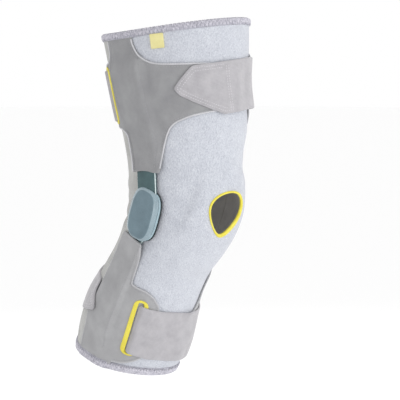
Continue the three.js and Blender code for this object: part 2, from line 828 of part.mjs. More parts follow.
for (const [name, layout] of Object.entries(STRAPS)) {
  addPart(name, strap(layout), 'strap');
}

export default brace;
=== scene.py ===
"""Looks of a hinged knee brace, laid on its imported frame. Tables are in millimetres and degrees.

Every piece lies on one bent tube, the sleeve's outer face, by three numbers:
  around  degrees round the leg, 0 at the front, 90 on the outer side, 180 at the back
  along   distance up the leg's axis from the knee, negative below it
  lift    height above the sleeve's outer face
One degree is close to one millimetre, so flat patterns are drawn straight in around and along.
"""
import math

import bpy
import numpy as np
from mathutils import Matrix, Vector
from mathutils.geometry import delaunay_2d_cdt


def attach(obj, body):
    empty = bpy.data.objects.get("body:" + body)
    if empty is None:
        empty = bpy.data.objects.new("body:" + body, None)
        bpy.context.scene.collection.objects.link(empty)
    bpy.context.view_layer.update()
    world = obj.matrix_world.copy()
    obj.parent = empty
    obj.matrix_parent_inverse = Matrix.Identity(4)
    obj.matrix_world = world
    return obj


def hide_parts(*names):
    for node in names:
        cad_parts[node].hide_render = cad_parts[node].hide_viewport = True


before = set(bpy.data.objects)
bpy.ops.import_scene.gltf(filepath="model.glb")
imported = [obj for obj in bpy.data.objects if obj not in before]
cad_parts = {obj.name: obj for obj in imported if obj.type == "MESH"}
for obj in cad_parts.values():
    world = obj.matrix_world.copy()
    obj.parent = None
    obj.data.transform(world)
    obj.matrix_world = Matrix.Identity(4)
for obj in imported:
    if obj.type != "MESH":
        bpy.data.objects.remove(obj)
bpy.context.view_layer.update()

# One millimetre in metres, and the millimetres of cloth in one square of its texture
MM = 0.001
UV_SPAN = 400.0

# The leg's axis and the sleeve's sections
THIGH_LEAN, SHANK_LEAN, BEND_HALF = 6.0, -27.0, 40.0
SECTIONS = [
    # along, front, back, outer, inner
    (-205, 38, 60, 44, 37),
    (-165, 44.5, 71, 50.5, 43.5),
    (-130, 44.5, 72, 52.5, 44.5),
    (-95, 38, 64.5, 51.5, 42),
    (-60, 37.5, 57.5, 50.5, 43),
    (-30, 47.7, 56.5, 53, 50),
    (0, 57, 56, 54.5, 54.5),
    (20, 57, 57.5, 55.5, 54.5),
    (45, 55.3, 56.5, 55.5, 54),
    (70, 62.5, 59, 57.5, 57.5),
    (105, 64.5, 65, 61.5, 60),
    (140, 69, 69.5, 66, 64.5),
    (175, 71.5, 74.5, 69.5, 68.5),
]
SLEEVE_THICKNESS, SLEEVE_TUCK = 3.0, 2.0
SLEEVE_ROWS, SLEEVE_COLUMNS = 150, 130
SEAM_AROUND, SEAM_GAP = 86.0, 0.3
SOFT_FORMS = [
    # around, along, height, reach around, reach along: the kneecap, the hollows beside it,
    # a fold behind and the hem's inner side
    (-4, 10, 3, 26, 20),
    (-44, 4, -1.2, 10, 22),
    (-46, 34, -1.6, 20, 6),
    (-45, -37, -1.6, 25, 13),
    (132, -27, -3.2, 15, 5.5),
    (-42, -168, -1.8, 36, 20),
]
# The kneecap's outer flank: around, along, height, reach before and beyond it, reach along, lean
KNEECAP_FLANK = (36, 8, 4.2, 26, 7.5, 20, -0.42)
CREASES = [
    # along, depth, half width: folds in the back of the bent knee
    (-26, 1.0, 5),
    (-8, 1.7, 5),
    (9, 1.3, 4.5),
    (25, 0.8, 5),
]
# The folds' half span behind the knee, their fade, bow and waver
CREASE_SPAN, CREASE_FADE, CREASE_BOW = 52, 1.3, 5
CREASE_WAVER = {"depth": 1.5, "waves": 3, "phase": 9}
# Room between neighbours that touch
GAP = 0.4

# Hems
TOP_EDGE = {"middle": 170.0, "swing": 4.8, "peak": -75, "height": 6.2, "sway": (150, 4.5, 45), "seed": 7}
BOTTOM_EDGE = {"middle": -175.0, "swing": 13.0, "peak": 8, "height": 8.4, "sway": (140, -4.0, 28), "seed": 8}
HEM_STATIONS, HEM_DRAWN_HEIGHT = 360, 7.7
# How a hem rises where it takes in a panel
HEM_SWELL = {"rise": 1.5, "run": 4, "start": 0.8}
HEM_PROFILE = [
    # distance in from the edge, lift, share of the swell
    (0.0, -2.6, 0), (0.0, -1.2, 0.3), (0.25, -0.1, 0.7), (0.9, 0.6, 1), (2.0, 0.85, 1), (4.0, 0.8, 1),
    (6.0, 0.85, 1), (7.0, 0.75, 1), (7.7, 0.5, 1), (8.1, 0.25, 1), (8.12, 0.07, 0.8), (7.75, 0.05, 0.6),
    (7.7, -1.0, 0.2), (7.2, -3.3, 0), (4.0, -3.6, 0), (1.2, -3.5, 0), (0.3, -3.1, 0),
]
HEM_LOOPS, HEM_PHASES = 112, (0.0, 0.36)
HEM_WEAVE = [
    # share of the loop, distance in from the edge, lift, share of the swell
    (0.0, 7.4, 0.75, 1), (0.08, 5.4, 1.15, 1), (0.17, 3.4, 1.15, 1), (0.26, 1.5, 1.1, 1),
    (0.33, 0.3, 0.3, 0.8), (0.38, -0.2, -1.2, 0.3), (0.42, 0.0, -2.8, 0), (0.5, 2.4, -3.9, 0),
    (0.58, 0.0, -2.8, 0), (0.62, -0.2, -1.2, 0.3), (0.67, 0.3, 0.3, 0.8), (0.74, 1.5, 1.1, 1),
    (0.83, 3.4, 1.15, 1), (0.92, 5.4, 1.15, 1),
]
HEM_STRAND = {"half_width": 0.55, "half_height": 0.4, "sides": 6, "wander": 0.4, "held": 2, "stagger": 0.15}
HEM_CLOTH_PITCH = 1.2, 1.5

# Kneecap opening
OPENING = {"around": 5, "along": 4.3, "around_half": 18.2, "along_half": 14.6, "lean": 1.8, "egg": 0.42}
OPENING_STATIONS, OPENING_MARGIN_ALONG = 720, 0.7
OPENING_RIM = {"thickness": 0.9, "fade": 9}
# The binding's lap on the knit, and how much, where and over what turn it is wider
BINDING = {"lap": 1.2, "swell": 4.9, "middle": 221, "reach": 54}
BINDING_STATIONS = 160
BINDING_CLOTH_PITCH = 360 / BINDING_STATIONS / 3.4, 1.0
BINDING_PROFILE = [
    # share of the lap outside the edge, fixed margin, lift
    (1, 0, 0.1), (1, -0.05, 0.55), (0.85, -0.1, 0.95), (0.45, -0.15, 1.15), (0, 0.1, 1.1),
    (0, -0.4, 0.85), (0, -0.8, 0.2), (0, -0.8, -0.6), (0, -0.5, -1.3), (0.1, 0, -1.6), (0.5, 0, -1.8),
    (0.5, 0, -1.35), (0, -0.15, -1.1), (0, -0.2, 0.05),
]
BINDING_STITCHES = {"share": 0.62, "margin": -0.2, "lift": 1.12}

# Hinges
HINGE_AROUND, HINGE_ALONG = 86.5, -4.0
ARM_PATH = [
    # along, around
    (-140, 100),
    (-90, 99.5),
    (-50, 97),
    (-34, 93.5),
    (-18, 87),
    (0, 84.5),
    (30, 85.5),
    (60, 89),
    (100, 95),
    (140, 96),
]
ARM_HALF_WIDTH = {1: 11.5, -1: 10.0}
ARM_THICKNESS, ARM_CHAMFER, ARM_START, ARM_END, ARM_STATIONS = 2.0, 0.8, 12, 126.0, 60
# Strips of the arm's section that are bare metal
ARM_BRIGHT = (2, 7)
# Lift of an arm at the hinge and in its pocket, and where it settles
ARM_SETTLING = {"at_hinge": 2.0, "in_pocket": 0.6, "from": 27, "run": 25}
HINGE_TILT, HINGE_POWER, HINGE_STATIONS = 7.5, 3.0, 112
BASE_LAYERS = [
    # height, half width, half length
    (0.4, 17.6, 24.2), (0.8, 18.2, 24.8), (1.4, 18.4, 25.0), (1.8, 18.2, 24.8), (1.9, 17.2, 24.2),
    (2.2, 17.4, 24.4), (3.4, 17.4, 24.4), (3.8, 17.3, 24.3), (4.1, 17.0, 24.1), (4.25, 16.6, 23.9),
    (4.3, 16.2, 23.7),
]
COVER_LAYERS = [
    (4.3, 16.1, 23.9), (4.75, 16.5, 24.4), (4.9, 16.8, 24.8), (5.2, 17.1, 25.1), (5.6, 17.05, 25.05),
    (5.9, 16.85, 24.85), (8.0, 13.5, 23.1), (8.35, 12.9, 22.5), (8.55, 12.3, 21.9), (8.6, 11.7, 21.3),
]
# Layers that take the second material, painted shadow on the base's lower flange and painted highlight on
# the cover's chamfer, and the shares of the end ovals that close the body
BASE_SHADOW_LAYERS, COVER_HIGHLIGHT_LAYERS = (0, 1, 2, 3, 4), (3, 4, 5, 6)
HINGE_MIDDLE, HINGE_CLOSING = 0.02, (0.97, 0.7, 0.4, 0.02)

# Side panels: columns of angle from the front of the leg, with their low and high ends
PANEL_THICKNESS, PANEL_GAP, PANEL_TUCK = 1.4, 0.5, 2.5
# A column that runs on into the hem, and how far the pockets' mouths are from the knee
TO_HEM = 200.0
POCKET_MOUTHS = 36.1, 33.0
PANELS = {
    "outer_upper_panel": (1, [
        (-4, 100, 120), (-2, 92, 126), (6, 87, 129), (28, 84, 130.5), (40, 82, 131), (49, 79, 131.5),
        (54, 77, 132), (59, 72.5, 132.5), (62, 66, 133), (64.5, 58, 133.7), (66, 51, 134.1),
        (67.6, 43, 134.6), (69.3, 33.5, 135.2), (74, 33.5, 138.4), (78, 33.5, 143), (81, 33.5, 148.8),
        (82.8, 33.5, 155.5), (83.6, 33.5, TO_HEM), (99, 33.5, TO_HEM), (100.5, 36, TO_HEM),
        (101.5, 56, TO_HEM), (102.5, 70, TO_HEM), (106, 75, TO_HEM), (112, 76, TO_HEM), (113.5, 76.2, 145),
        (118, 76.8, 142), (128, 78.5, 141), (138, 82, 139.5), (143, 87, 135), (146, 95, 125),
    ]),
    "inner_upper_panel": (-1, [
        (34, 95, 128), (35.5, 90, 133), (38, 87, 136), (46, 83, 139), (57, 72, 144), (65, 62, 150),
        (71, 48, TO_HEM), (74.5, 36, TO_HEM), (105, 36, TO_HEM), (106, 72, TO_HEM), (112, 76, TO_HEM),
        (114, 78, 148), (122, 80, 142), (130, 88, 134), (133, 100, 120),
    ]),
    "outer_lower_panel": (1, [
        (32.5, -126, -100), (33.5, -137, -89.5), (37, -142.5, -85.5), (42.5, -147.5, -81),
        (48, -151, -78.3), (56, -155, -76), (62, -157, -75.8), (70, -158.8, -75.6), (76, -TO_HEM, -75),
        (77.6, -TO_HEM, -74.5), (78.4, -TO_HEM, -66), (78.8, -TO_HEM, -48), (79.4, -TO_HEM, -31),
        (84, -TO_HEM, -30.5), (95, -TO_HEM, -30), (104, -TO_HEM, -29), (110, -TO_HEM, -31.5),
        (116, -TO_HEM, -40), (117.5, -125, -43), (119, -92, -47), (121, -66, -52),
    ]),
    "inner_lower_panel": (-1, [
        (1, -124, -108), (2.5, -133, -103), (8, -141, -99.5), (22, -146, -95), (32, -148.5, -85),
        (36, -149.4, -74), (42, -150.5, -63), (60, -156, -55), (68, -TO_HEM, -51), (73, -TO_HEM, -48),
        (80, -TO_HEM, -33), (98, -TO_HEM, -32.5), (110, -TO_HEM, -35), (116, -TO_HEM, -40),
        (117.5, -125, -43), (119, -92, -47), (121, -66, -52),
    ]),
}
POCKET_SEAMS = {
    # lines of stitching beside the arm, as around, along
    "upper": [
        [(74, 38), (72.5, 48), (71.5, 58.5), (73.5, 74), (76.5, 90), (78.5, 120), (78.5, 147), (78, 152)],
        [(97.5, 38), (98.8, 60), (102.5, 80), (107.5, 105), (109, 135), (107, 158)],
    ],
    "lower": [
        [(83.5, -36), (85, -60), (86, -90), (86.5, -120), (86, -150)],
        [(109.5, -38), (112, -60), (113.5, -90), (113, -120), (111, -150)],
    ],
}
# Steps and rounding of an outline, and which stretches of it get piping
OUTLINE_STEP, OUTLINE_ROUNDING, OUTLINE_COLUMN = 1.2, 3.0, 0.5
HEM_CLEARANCE, SHORTEST_RUN = 0.6, 6
# Arch of a pocket's mouth over its arm, and how the pocket stands over the arm: half width and fade
# above and below the knee, fade past the arm's end, clearance
MOUTH_ARCH = {"rise": 2.4, "middle": 90, "half": 14}
POCKET_HALF, POCKET_FADE, POCKET_CLEARANCE = (13.8, 12.5), (9, 7.5), 0.3
POCKET_END = {"past": 4, "run": 20}
# Grooves along the seams and inside the edge, the round welt on the edge and how deep the stitches lie
SEAM_GROOVE = {"depth": 0.45, "half": 0.8}
EDGE_GROOVE = {"inset": 2.8, "depth": 0.3, "half": 0.7}
WELT = {"inset": 0.7, "sunk": 0.25, "half_width": 0.8, "half_height": 0.55, "sides": 8}
EDGE_STITCH_SUNK, SEAM_STITCH_SUNK = 0.22, 0.38

# Slots: panel, angle of the yellow leg, middle, half height, way the strap leaves
SLOTS = {
    "upper_slot_ring": ("outer_upper_panel", 124.5, 110.5, 25.2, 1),
    "lower_slot_ring": ("outer_lower_panel", 61.5, -115.5, 26.8, -1),
}
SLOT_WIDTH, SLOT_CORNER, SLOT_CORNER_STEPS, SLOT_RING_SEAT = 5.2, 1.6, 9, 0.1
SLOT_RING_WIDTH, SLOT_RING_THICKNESS, SLOT_RING_END_SHARE, SLOT_RING_STEP = 4.3, 0.8, 0.5, 0.8
SLOT_RING_PROFILE = [
    # margin from the slot's edge, height over the panel
    (0.3, -0.7), (0.25, 0.2), (0.45, 0.6), (0.9, 0.8), (2.4, 0.9), (3.8, 0.8), (4.4, 0.6), (4.7, 0.2),
    (4.7, -0.15),
]

# Straps: middle line as around, along; its end; tip as distance from the end, share of half the width;
# how far the strap stands off at the inner side
STRAP_THICKNESS = 1.5
STRAP_START, STRAP_LINE_POINTS, STRAP_ROWS, STRAP_CLEARANCE, STRAP_LIFT = 0.6, 1600, 17, 0.2, 0.15
# Reach and blur of the bridging along the strap, across it and for its whole width, and the share of that
BRIDGE_ALONG, BRIDGE_ACROSS, BRIDGE_WHOLE, BRIDGE_SHARE = (4, 6), (1, 2), (7, 10), 0.55
# Where the strap turns flat towards its tip, comes out of its slot, stands off and waves
STRAP_TIP_FREE = {"from": 60, "run": 40}
STRAP_OUT = {"from": 0.5, "run": 3.6, "ring_fade": 10}
STRAP_FLARE = {"around": -46, "reach": 26, "middle": 0.35, "slope": 0.65}
STRAP_WAVE = {"height": 0.2, "long": 17, "cross": 9, "from": 25, "run": 30}
STRAP_CLOTH_START, STRAP_STITCH_SUNK, STRAP_CROSS_POINTS = 20, 0.02, 40
STRAP_ROUNDING, STRAP_MESH_STEP, STRAP_EDGE = 2.4, 3.0, (1.1, 0.35)
STRAPS = {
    "upper_strap": {
        "slot": "upper_slot_ring",
        "width": 48.5,
        "path": [
            (125, 110.5), (180, 110.5), (250, 113), (319, 113), (356, 108.5), (380, 105.5), (400, 104),
            (420, 103.2),
        ],
        "end": 412.2,
        "tip": [
            (44, -1), (30.5, -0.72), (15, -0.35), (4.4, -0.07), (0, 0.2), (6.5, 0.53), (17, 0.95), (19.5, 1),
        ],
        "flare": 3.5,
    },
    "lower_strap": {
        "slot": "lower_slot_ring",
        "width": 50.4,
        "path": [
            (64, -116.6), (52, -116.8), (40, -117.4), (0, -119), (-45, -121.5), (-90, -123), (-135, -124.5),
            (-180, -126), (-203, -123), (-221, -115.6), (-239, -103), (-252, -93),
        ],
        "end": -241.8,
        "tip": [(3, -1), (0, -0.92), (0, 0.05), (6, 0.3), (20, 0.58), (46, 1)],
        "flare": 0.0,
    },
}

# Label tab: its place and size, the bead inside its edge and its two rows of stitches
LABEL = {
    "around": 61.9, "along": 153.5, "half_width": 6.5, "half_height": 6.8, "thickness": 0.8,
    "under": GAP * 0.3,
}
LABEL_STEP, LABEL_ROUNDING, LABEL_MESH_STEP, LABEL_EDGE = 0.6, 0.8, 1.5, (0.5, 0.5)
LABEL_BEAD = {"height": 0.12, "inset": 0.5, "half": 0.4}
LABEL_STITCHES = {"levels": (-0.82, 0.82), "reach": 0.86, "points": 20, "lift": 0.8}

# Stitches: place along the stitch, size and sink of each section
STITCH_SECTIONS = [(-1, 0.3, -0.22), (-0.75, 0.8, -0.05), (0, 1, 0.06), (0.75, 0.8, -0.05), (1, 0.3, -0.22)]
STITCH_LINE_STEP = 0.5

# Flat patterns: rows of points inside an edge and beside a seam, and the room left round them
EDGE_ROWS, EDGE_ROW_CLEAR, EDGE_ROOM = (0.3, 0.7, 1.2, 1.9, 2.8, 4.0), 0.93, 0.4
SEAM_ROWS, SEAM_STEP, SEAM_ROOM, NO_SEAM = (0.0, -0.6, 0.6, -1.3, 1.3), 1.4, 2.4, 99.0

# Stage: place in metres, size and power of the lights; camera in degrees and metres
LIGHTS = {
    "key": ((0.35, -2.0, 0.05), 0.9, 13),
    "rim": ((1.2, 1.6, 1.0), 0.8, 6),
    "catch": ((-0.92, -0.31, -0.22), 0.18, 0.5),
}
CAMERA = {
    "lens": 150.0, "sensor": 36.0, "shift": (0.03625, 0.015), "azimuth": -45, "elevation": 4, "away": 1.6,
}
FLOOR_REACH, FLOOR_LEVEL = 40.0, -0.45


# Numbers and curves


class Curve:
    """Smooth curve through a table of rows whose first column is the key."""

    def __init__(self, rows):
        rows = np.array(sorted(rows), float)
        self.keys, self.values = rows[:, 0], rows[:, 1:]
        index = np.arange(len(rows))
        before, after = np.maximum(index - 1, 0), np.minimum(index + 1, len(rows) - 1)
        run = self.keys[after] - self.keys[before]
        self.slopes = (self.values[after] - self.values[before]) / run[:, None]

    def __call__(self, key):
        key = np.clip(np.asarray(key, float), self.keys[0], self.keys[-1])
        i = np.clip(np.searchsorted(self.keys, key, side="right") - 1, 0, len(self.keys) - 2)
        step = self.keys[i + 1] - self.keys[i]
        t = ((key - self.keys[i]) / step)[..., None]
        start, end = self.values[i], self.values[i + 1]
        leave, arrive = self.slopes[i] * step[..., None], self.slopes[i + 1] * step[..., None]
        bend = (1 - t) * leave - t * arrive + (2 * t - 1) * (end - start)
        return start + (end - start) * t + t * (1 - t) * bend


def smooth(value):
    value = np.clip(value, 0, 1)
    return value * value * (3 - 2 * value)


def turns(count):
    """Equal steps of one whole turn."""
    return np.linspace(0, 2 * math.pi, count, endpoint=False)


def wrap_degrees(angle):
    return angle - 360 * np.round(angle / 360)


section_at = Curve(SECTIONS)
arm_around = Curve(ARM_PATH)


def relief(around, along):
    """Height of the soft forms of the knee over the plain tube."""
    height = np.zeros(np.broadcast(around, along).shape)
    for middle, level, rise, reach_around, reach_along in SOFT_FORMS:
        aside = wrap_degrees(around - middle) / reach_around
        height += rise * np.exp(-aside ** 2 - ((along - level) / reach_along) ** 2)
    middle, level, rise, before, beyond, reach_along, lean = KNEECAP_FLANK
    aside = wrap_degrees(around - middle) - lean * (along - level)
    aside = aside / np.where(aside > 0, beyond, before)
    height += rise * np.exp(-aside ** 2 - ((along - level) / reach_along) ** 2)
    behind = wrap_degrees(around - 180)
    fade = smooth(CREASE_FADE - np.abs(behind) / CREASE_SPAN)
    for level, depth, half_width in CREASES:
        turn = np.radians(behind * CREASE_WAVER["waves"] + level * CREASE_WAVER["phase"])
        bow = CREASE_BOW * (behind / CREASE_SPAN) ** 2
        bowed = along - level - bow - CREASE_WAVER["depth"] * np.sin(turn)
        height -= fade * depth * np.exp(-(bowed / half_width) ** 2)
    return height


def place(around, along, lift=0.0):
    """Points in metres from around, along and lift."""
    around, along, lift = np.broadcast_arrays(*(np.asarray(v, float) for v in (around, along, lift)))
    middle = math.radians((THIGH_LEAN + SHANK_LEAN) / 2)
    radius = 2 * BEND_HALF / math.radians(THIGH_LEAN - SHANK_LEAN)
    bent = np.clip(along, -BEND_HALF, BEND_HALF)
    lean, rest = middle + bent / radius, along - bent
    y = radius * (math.cos(middle) - np.cos(lean)) + rest * np.sin(lean)
    z = radius * (np.sin(lean) - math.sin(middle)) + rest * np.cos(lean)
    front, back, outer, inner = np.moveaxis(section_at(along), -1, 0)
    sin, cos = np.sin(np.radians(around)), np.cos(np.radians(around))
    depth, width = np.where(cos > 0, front, back), np.where(sin > 0, outer, inner)
    scale = (lift + relief(around, along)) / np.hypot(depth * sin, width * cos)
    sideways, forward = width * sin + depth * sin * scale, depth * cos + width * cos * scale
    return MM * np.stack([-sideways, y - forward * np.cos(lean), z + forward * np.sin(lean)], -1)


def unit(vectors):
    return vectors / np.maximum(np.linalg.norm(vectors, axis=-1, keepdims=True), 1e-12)


def normal_at(around, along):
    """Outward direction of the sleeve."""
    across = place(np.asarray(around) + 0.5, along) - place(np.asarray(around) - 0.5, along)
    up = place(around, np.asarray(along) + 0.5) - place(around, np.asarray(along) - 0.5)
    return unit(np.cross(up, across))


def degree_length(around, along):
    return np.linalg.norm(place(around + 0.5, along) - place(around - 0.5, along), axis=-1) / MM


def edge_at(edge, around):
    """Level of a hem's edge; its sway is where, how much and how widely it leaves an even slant."""
    where, rise, reach = edge["sway"]
    sway = rise * np.exp(-(wrap_degrees(around - where) / reach) ** 2)
    return edge["middle"] + edge["swing"] * np.cos(np.radians(around - edge["peak"])) + sway


def top_seam(around):
    return edge_at(TOP_EDGE, around) - TOP_EDGE["height"] - GAP


def bottom_seam(around):
    return edge_at(BOTTOM_EDGE, around) + BOTTOM_EDGE["height"] + GAP


def lengths(points):
    """Distance of every point of a line from its start."""
    return np.concatenate([[0], np.cumsum(np.linalg.norm(np.diff(points, axis=0), axis=1))])


def between(at, length, points):
    """Places on a line at distances from its start."""
    return np.stack([np.interp(at, length, column) for column in points.T], -1)


def resample(points, step, closed=False):
    """The same line with its points a step apart."""
    points = np.asarray(points, float)
    if closed:
        points = np.vstack([points, points[:1]])
    length = lengths(points)
    count = max(3, int(round(length[-1] / step)))
    line = between(np.linspace(0, length[-1], count + 1), length, points)
    return line[:-1] if closed else line


def rounded_loop(points, step, radius):
    """A closed line with its corners rounded off."""
    line = resample(points, step, closed=True)
    reach = max(1, int(round(radius / step)))
    weights = np.hanning(2 * reach + 3)[1:-1]
    weights /= weights.sum()
    padded = np.vstack([line[-reach:], line, line[:reach]])
    eased = np.stack([np.convolve(padded[:, c], weights, "valid") for c in (0, 1)], -1)
    return resample(eased, step, closed=True)


def inside(loop, points):
    """Which points lie inside a closed line."""
    a, b = loop, np.roll(loop, -1, axis=0)
    x, y = points[:, :1], points[:, 1:]
    crosses = (a[:, 1] > y) != (b[:, 1] > y)
    rise = np.where(b[:, 1] == a[:, 1], 1e-9, b[:, 1] - a[:, 1])
    return (crosses & (x < a[:, 0] + (y - a[:, 1]) * (b[:, 0] - a[:, 0]) / rise)).sum(1) % 2 == 1


def distance_to(lines, points):
    marks = np.vstack(lines)
    return np.sqrt(((points[:, None] - marks[None]) ** 2).sum(-1).min(1))


# Meshes


def add_object(name, data):
    item = bpy.data.objects.new(name, data)
    bpy.context.scene.collection.objects.link(item)
    return item


def add_piece(name, points, faces, materials, stands_for=(), uv=None, second=None, crease=50):
    """A piece that rides on the frame; the faces numbered in second take the second material."""
    mesh = bpy.data.meshes.new(name)
    mesh.from_pydata(np.asarray(points).reshape(-1, 3).tolist(), [], [tuple(map(int, f)) for f in faces])
    for entry in materials:
        mesh.materials.append(entry)
    if second is not None:
        index = np.zeros(len(mesh.polygons), np.int32)
        index[second] = 1
        mesh.polygons.foreach_set("material_index", index)
    if uv is not None:
        corners = np.zeros(len(mesh.loops), np.int32)
        mesh.loops.foreach_get("vertex_index", corners)
        layer = mesh.uv_layers.new(name="cloth")
        layer.data.foreach_set("uv", (np.asarray(uv, float).reshape(-1, 2) / UV_SPAN)[corners].ravel())
    mesh.calc_loop_triangles()
    corner = np.zeros(len(mesh.loop_triangles) * 3, np.int32)
    mesh.loop_triangles.foreach_get("vertices", corner)
    a, b, c = np.moveaxis(np.asarray(points, float).reshape(-1, 3)[corner].reshape(-1, 3, 3), 1, 0)
    if (a * np.cross(b, c)).sum() < 0:
        mesh.flip_normals()
    mesh.shade_smooth()
    mesh.set_sharp_from_angle(angle=math.radians(crease))
    mesh.validate()
    piece = add_object(name, mesh)
    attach(piece, "root")
    if stands_for:
        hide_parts(*stands_for)
    return piece


def grid_faces(rows, columns, wrap_rows=False, wrap_columns=False):
    i, j = np.meshgrid(np.arange(rows if wrap_rows else rows - 1),
                       np.arange(columns if wrap_columns else columns - 1), indexing="ij")
    i, j = i.ravel(), j.ravel()
    k, m = (i + 1) % rows, (j + 1) % columns
    return np.stack([i * columns + j, i * columns + m, k * columns + m, k * columns + j], -1)


def add_sheet(name, around, along, upper, under, faces, materials, stands_for, uv):
    """A closed sheet between two lifts over the sleeve; its rim follows the open edges."""
    count = len(around)
    faces = [list(map(int, face)) for face in faces]
    sides = {(a, b) for face in faces for a, b in zip(face, face[1:] + face[:1])}
    rim = [(a, a + count, b + count, b) for a, b in sorted(sides) if (b, a) not in sides]
    back = [[corner + count for corner in reversed(face)] for face in faces]
    points = np.vstack([place(around, along, upper), place(around, along, under)])
    second = np.arange(len(faces)) + len(faces) + len(rim)
    uv = np.vstack([uv, uv])
    return add_piece(name, points, faces + rim + back, materials, [stands_for], uv, second)


def tube_faces(rings, sides, closed=False):
    """Faces of a tube of rings; a tube that isn't a closed loop gets a face over each end."""
    faces = grid_faces(rings, sides, wrap_rows=closed, wrap_columns=True).tolist()
    if not closed:
        last = (rings - 1) * sides
        faces += [list(range(sides))[::-1], [last + i for i in range(sides)]]
    return faces


def add_ring(name, points, material, stands_for, pitch):
    """A closed ring of rows of points; pitch is the cloth's length from row to row and across a row."""
    rows, columns = points.shape[:2]
    uv = np.stack(np.meshgrid(np.arange(rows) * pitch[0], np.arange(columns) * pitch[1], indexing="ij"), -1)
    faces = tube_faces(rows, columns, closed=True)
    return add_piece(name, points, faces, [material], [stands_for], uv)


def sweep(points, normals, profile, closed=False):
    """Rings of a profile (across, up in millimetres) carried along a line, and their faces."""
    ahead = np.roll(points, -1, axis=0) - np.roll(points, 1, axis=0)
    if not closed:
        ahead[0], ahead[-1] = points[1] - points[0], points[-1] - points[-2]
    across = unit(np.cross(unit(ahead), normals))
    profile = np.asarray(profile, float) * MM
    rings = points[:, None] + across[:, None] * profile[:, :1] + normals[:, None] * profile[:, 1:]
    return rings.reshape(-1, 3), tube_faces(len(points), len(profile), closed)


def oval_profile(half_width, half_height, sides):
    turn = np.arange(sides) * 2 * math.pi / sides
    return np.stack([half_width * np.cos(turn), half_height * np.sin(turn)], -1)


def add_bodies(name, bodies, material, axes=(0, 2), shift=UV_SPAN / 2):
    """Several small bodies as one piece, with its cloth laid out over two axes of the frame."""
    faces, start = [], 0
    for body, body_faces in bodies:
        faces += [[corner + start for corner in face] for face in body_faces]
        start += len(body)
    points = np.vstack([body for body, _ in bodies])
    return add_piece(name, points, faces, [material], uv=points[:, list(axes)] / MM + shift)


def stitch_bodies(line, pitch=2.6, length=1.9, width=0.65, height=0.45, sides=6):
    """Stitches along a line of around, along and lift."""
    fine = resample(line, STITCH_LINE_STEP)
    points = place(*fine.T)
    run = lengths(points) / MM
    marks = np.arange(pitch / 2, run[-1] - pitch / 2, pitch)
    share, size, sink = np.array(STITCH_SECTIONS).T
    spots = between(marks[:, None] + share * length / 2, run, points)
    upward = unit(between(marks, run, normal_at(fine[:, 0], fine[:, 1])))
    across = np.cross(unit(spots[:, -1] - spots[:, 0]), upward)
    aside, rise = oval_profile(width / 2, height / 2, sides).T
    rise = sink[:, None] + rise * size[:, None]
    aside = aside * size[:, None]
    upward, across = upward[:, None, None], across[:, None, None]
    bodies = spots[:, :, None] + MM * (rise[..., None] * upward + aside[..., None] * across)
    faces = tube_faces(len(size), sides)
    return [(body.reshape(-1, 3), faces) for body in bodies]


# Flat patterns: an outline with rows of points along its edge, its holes and its seams


def shifted(line, distance, closed):
    """A line moved sideways, to its left."""
    ahead = np.roll(line, -1, axis=0) - np.roll(line, 1, axis=0)
    if not closed:
        ahead[0], ahead[-1] = line[1] - line[0], line[-1] - line[-2]
    ahead = unit(ahead)
    return line + distance * np.stack([-ahead[:, 1], ahead[:, 0]], -1)


def counterclockwise(loop):
    following = np.roll(loop, -1, axis=0)
    area = (loop[:, 0] * following[:, 1] - loop[:, 1] * following[:, 0]).sum()
    return loop if area > 0 else loop[::-1]


def pattern(loop, holes=(), seams=(), step=2.6):
    """Triangles of a flat pattern; gives points, faces, distance to the edge and to the seams."""
    loop = counterclockwise(loop)
    holes = [counterclockwise(hole) for hole in holes]
    rims = [loop, *holes]
    points, edge_distance = [np.vstack(rims)], [np.zeros(sum(map(len, rims)))]

    def on_cloth(spots):
        return inside(loop, spots) & ~np.any([inside(hole, spots) for hole in holes], axis=0)

    for row in EDGE_ROWS:
        for rim, sign in [(loop, 1), *((hole, -1) for hole in holes)]:
            moved = shifted(rim, sign * row, closed=True)
            moved = moved[on_cloth(moved) & (distance_to(rims, moved) > EDGE_ROW_CLEAR * row)]
            points.append(moved)
            edge_distance.append(np.full(len(moved), row))
    edge_room = EDGE_ROWS[-1] + EDGE_ROOM * step
    lines = [resample(seam, SEAM_STEP) for seam in seams]
    if lines:
        rows = np.vstack([shifted(line, row, closed=False) for line in lines for row in SEAM_ROWS])
        rows = rows[on_cloth(rows) & (distance_to(rims, rows) > edge_room)]
        points.append(rows)
        edge_distance.append(distance_to(rims, rows))
    low, high = loop.min(0), loop.max(0)
    fill = np.stack(np.meshgrid(np.arange(low[0], high[0], step), np.arange(low[1], high[1], step)), -1)
    fill = fill.reshape(-1, 2)
    fill = fill[on_cloth(fill)]
    distance = distance_to(rims, fill)
    clear = distance > edge_room
    if lines:
        clear &= distance_to(lines, fill) > SEAM_ROOM
    points.append(fill[clear])
    edge_distance.append(distance[clear])
    points, edge_distance = np.vstack(points), np.concatenate(edge_distance)
    edges, start = [], 0
    for rim in rims:
        edges += [(start + i, start + (i + 1) % len(rim)) for i in range(len(rim))]
        start += len(rim)
    found = delaunay_2d_cdt([Vector(p) for p in points], edges, [], 1, 1e-5)
    flat = np.array([tuple(v) for v in found[0]])
    faces = np.array(found[2])
    origin = np.array([source[0] if source else 0 for source in found[3]])
    for hole in holes:
        faces = faces[~inside(hole, flat[faces].mean(1))]
    seam_distance = distance_to(lines, flat) if lines else np.full(len(flat), NO_SEAM)
    return flat, faces, edge_distance[origin], seam_distance


def edge_round(distance, radius=1.0, least=0.3):
    """Share of a sheet's thickness at a distance from its cut edge."""
    reach = np.clip(distance / radius, 0, 1)
    return least + (1 - least) * np.sqrt(1 - (1 - reach) ** 2)


# Materials


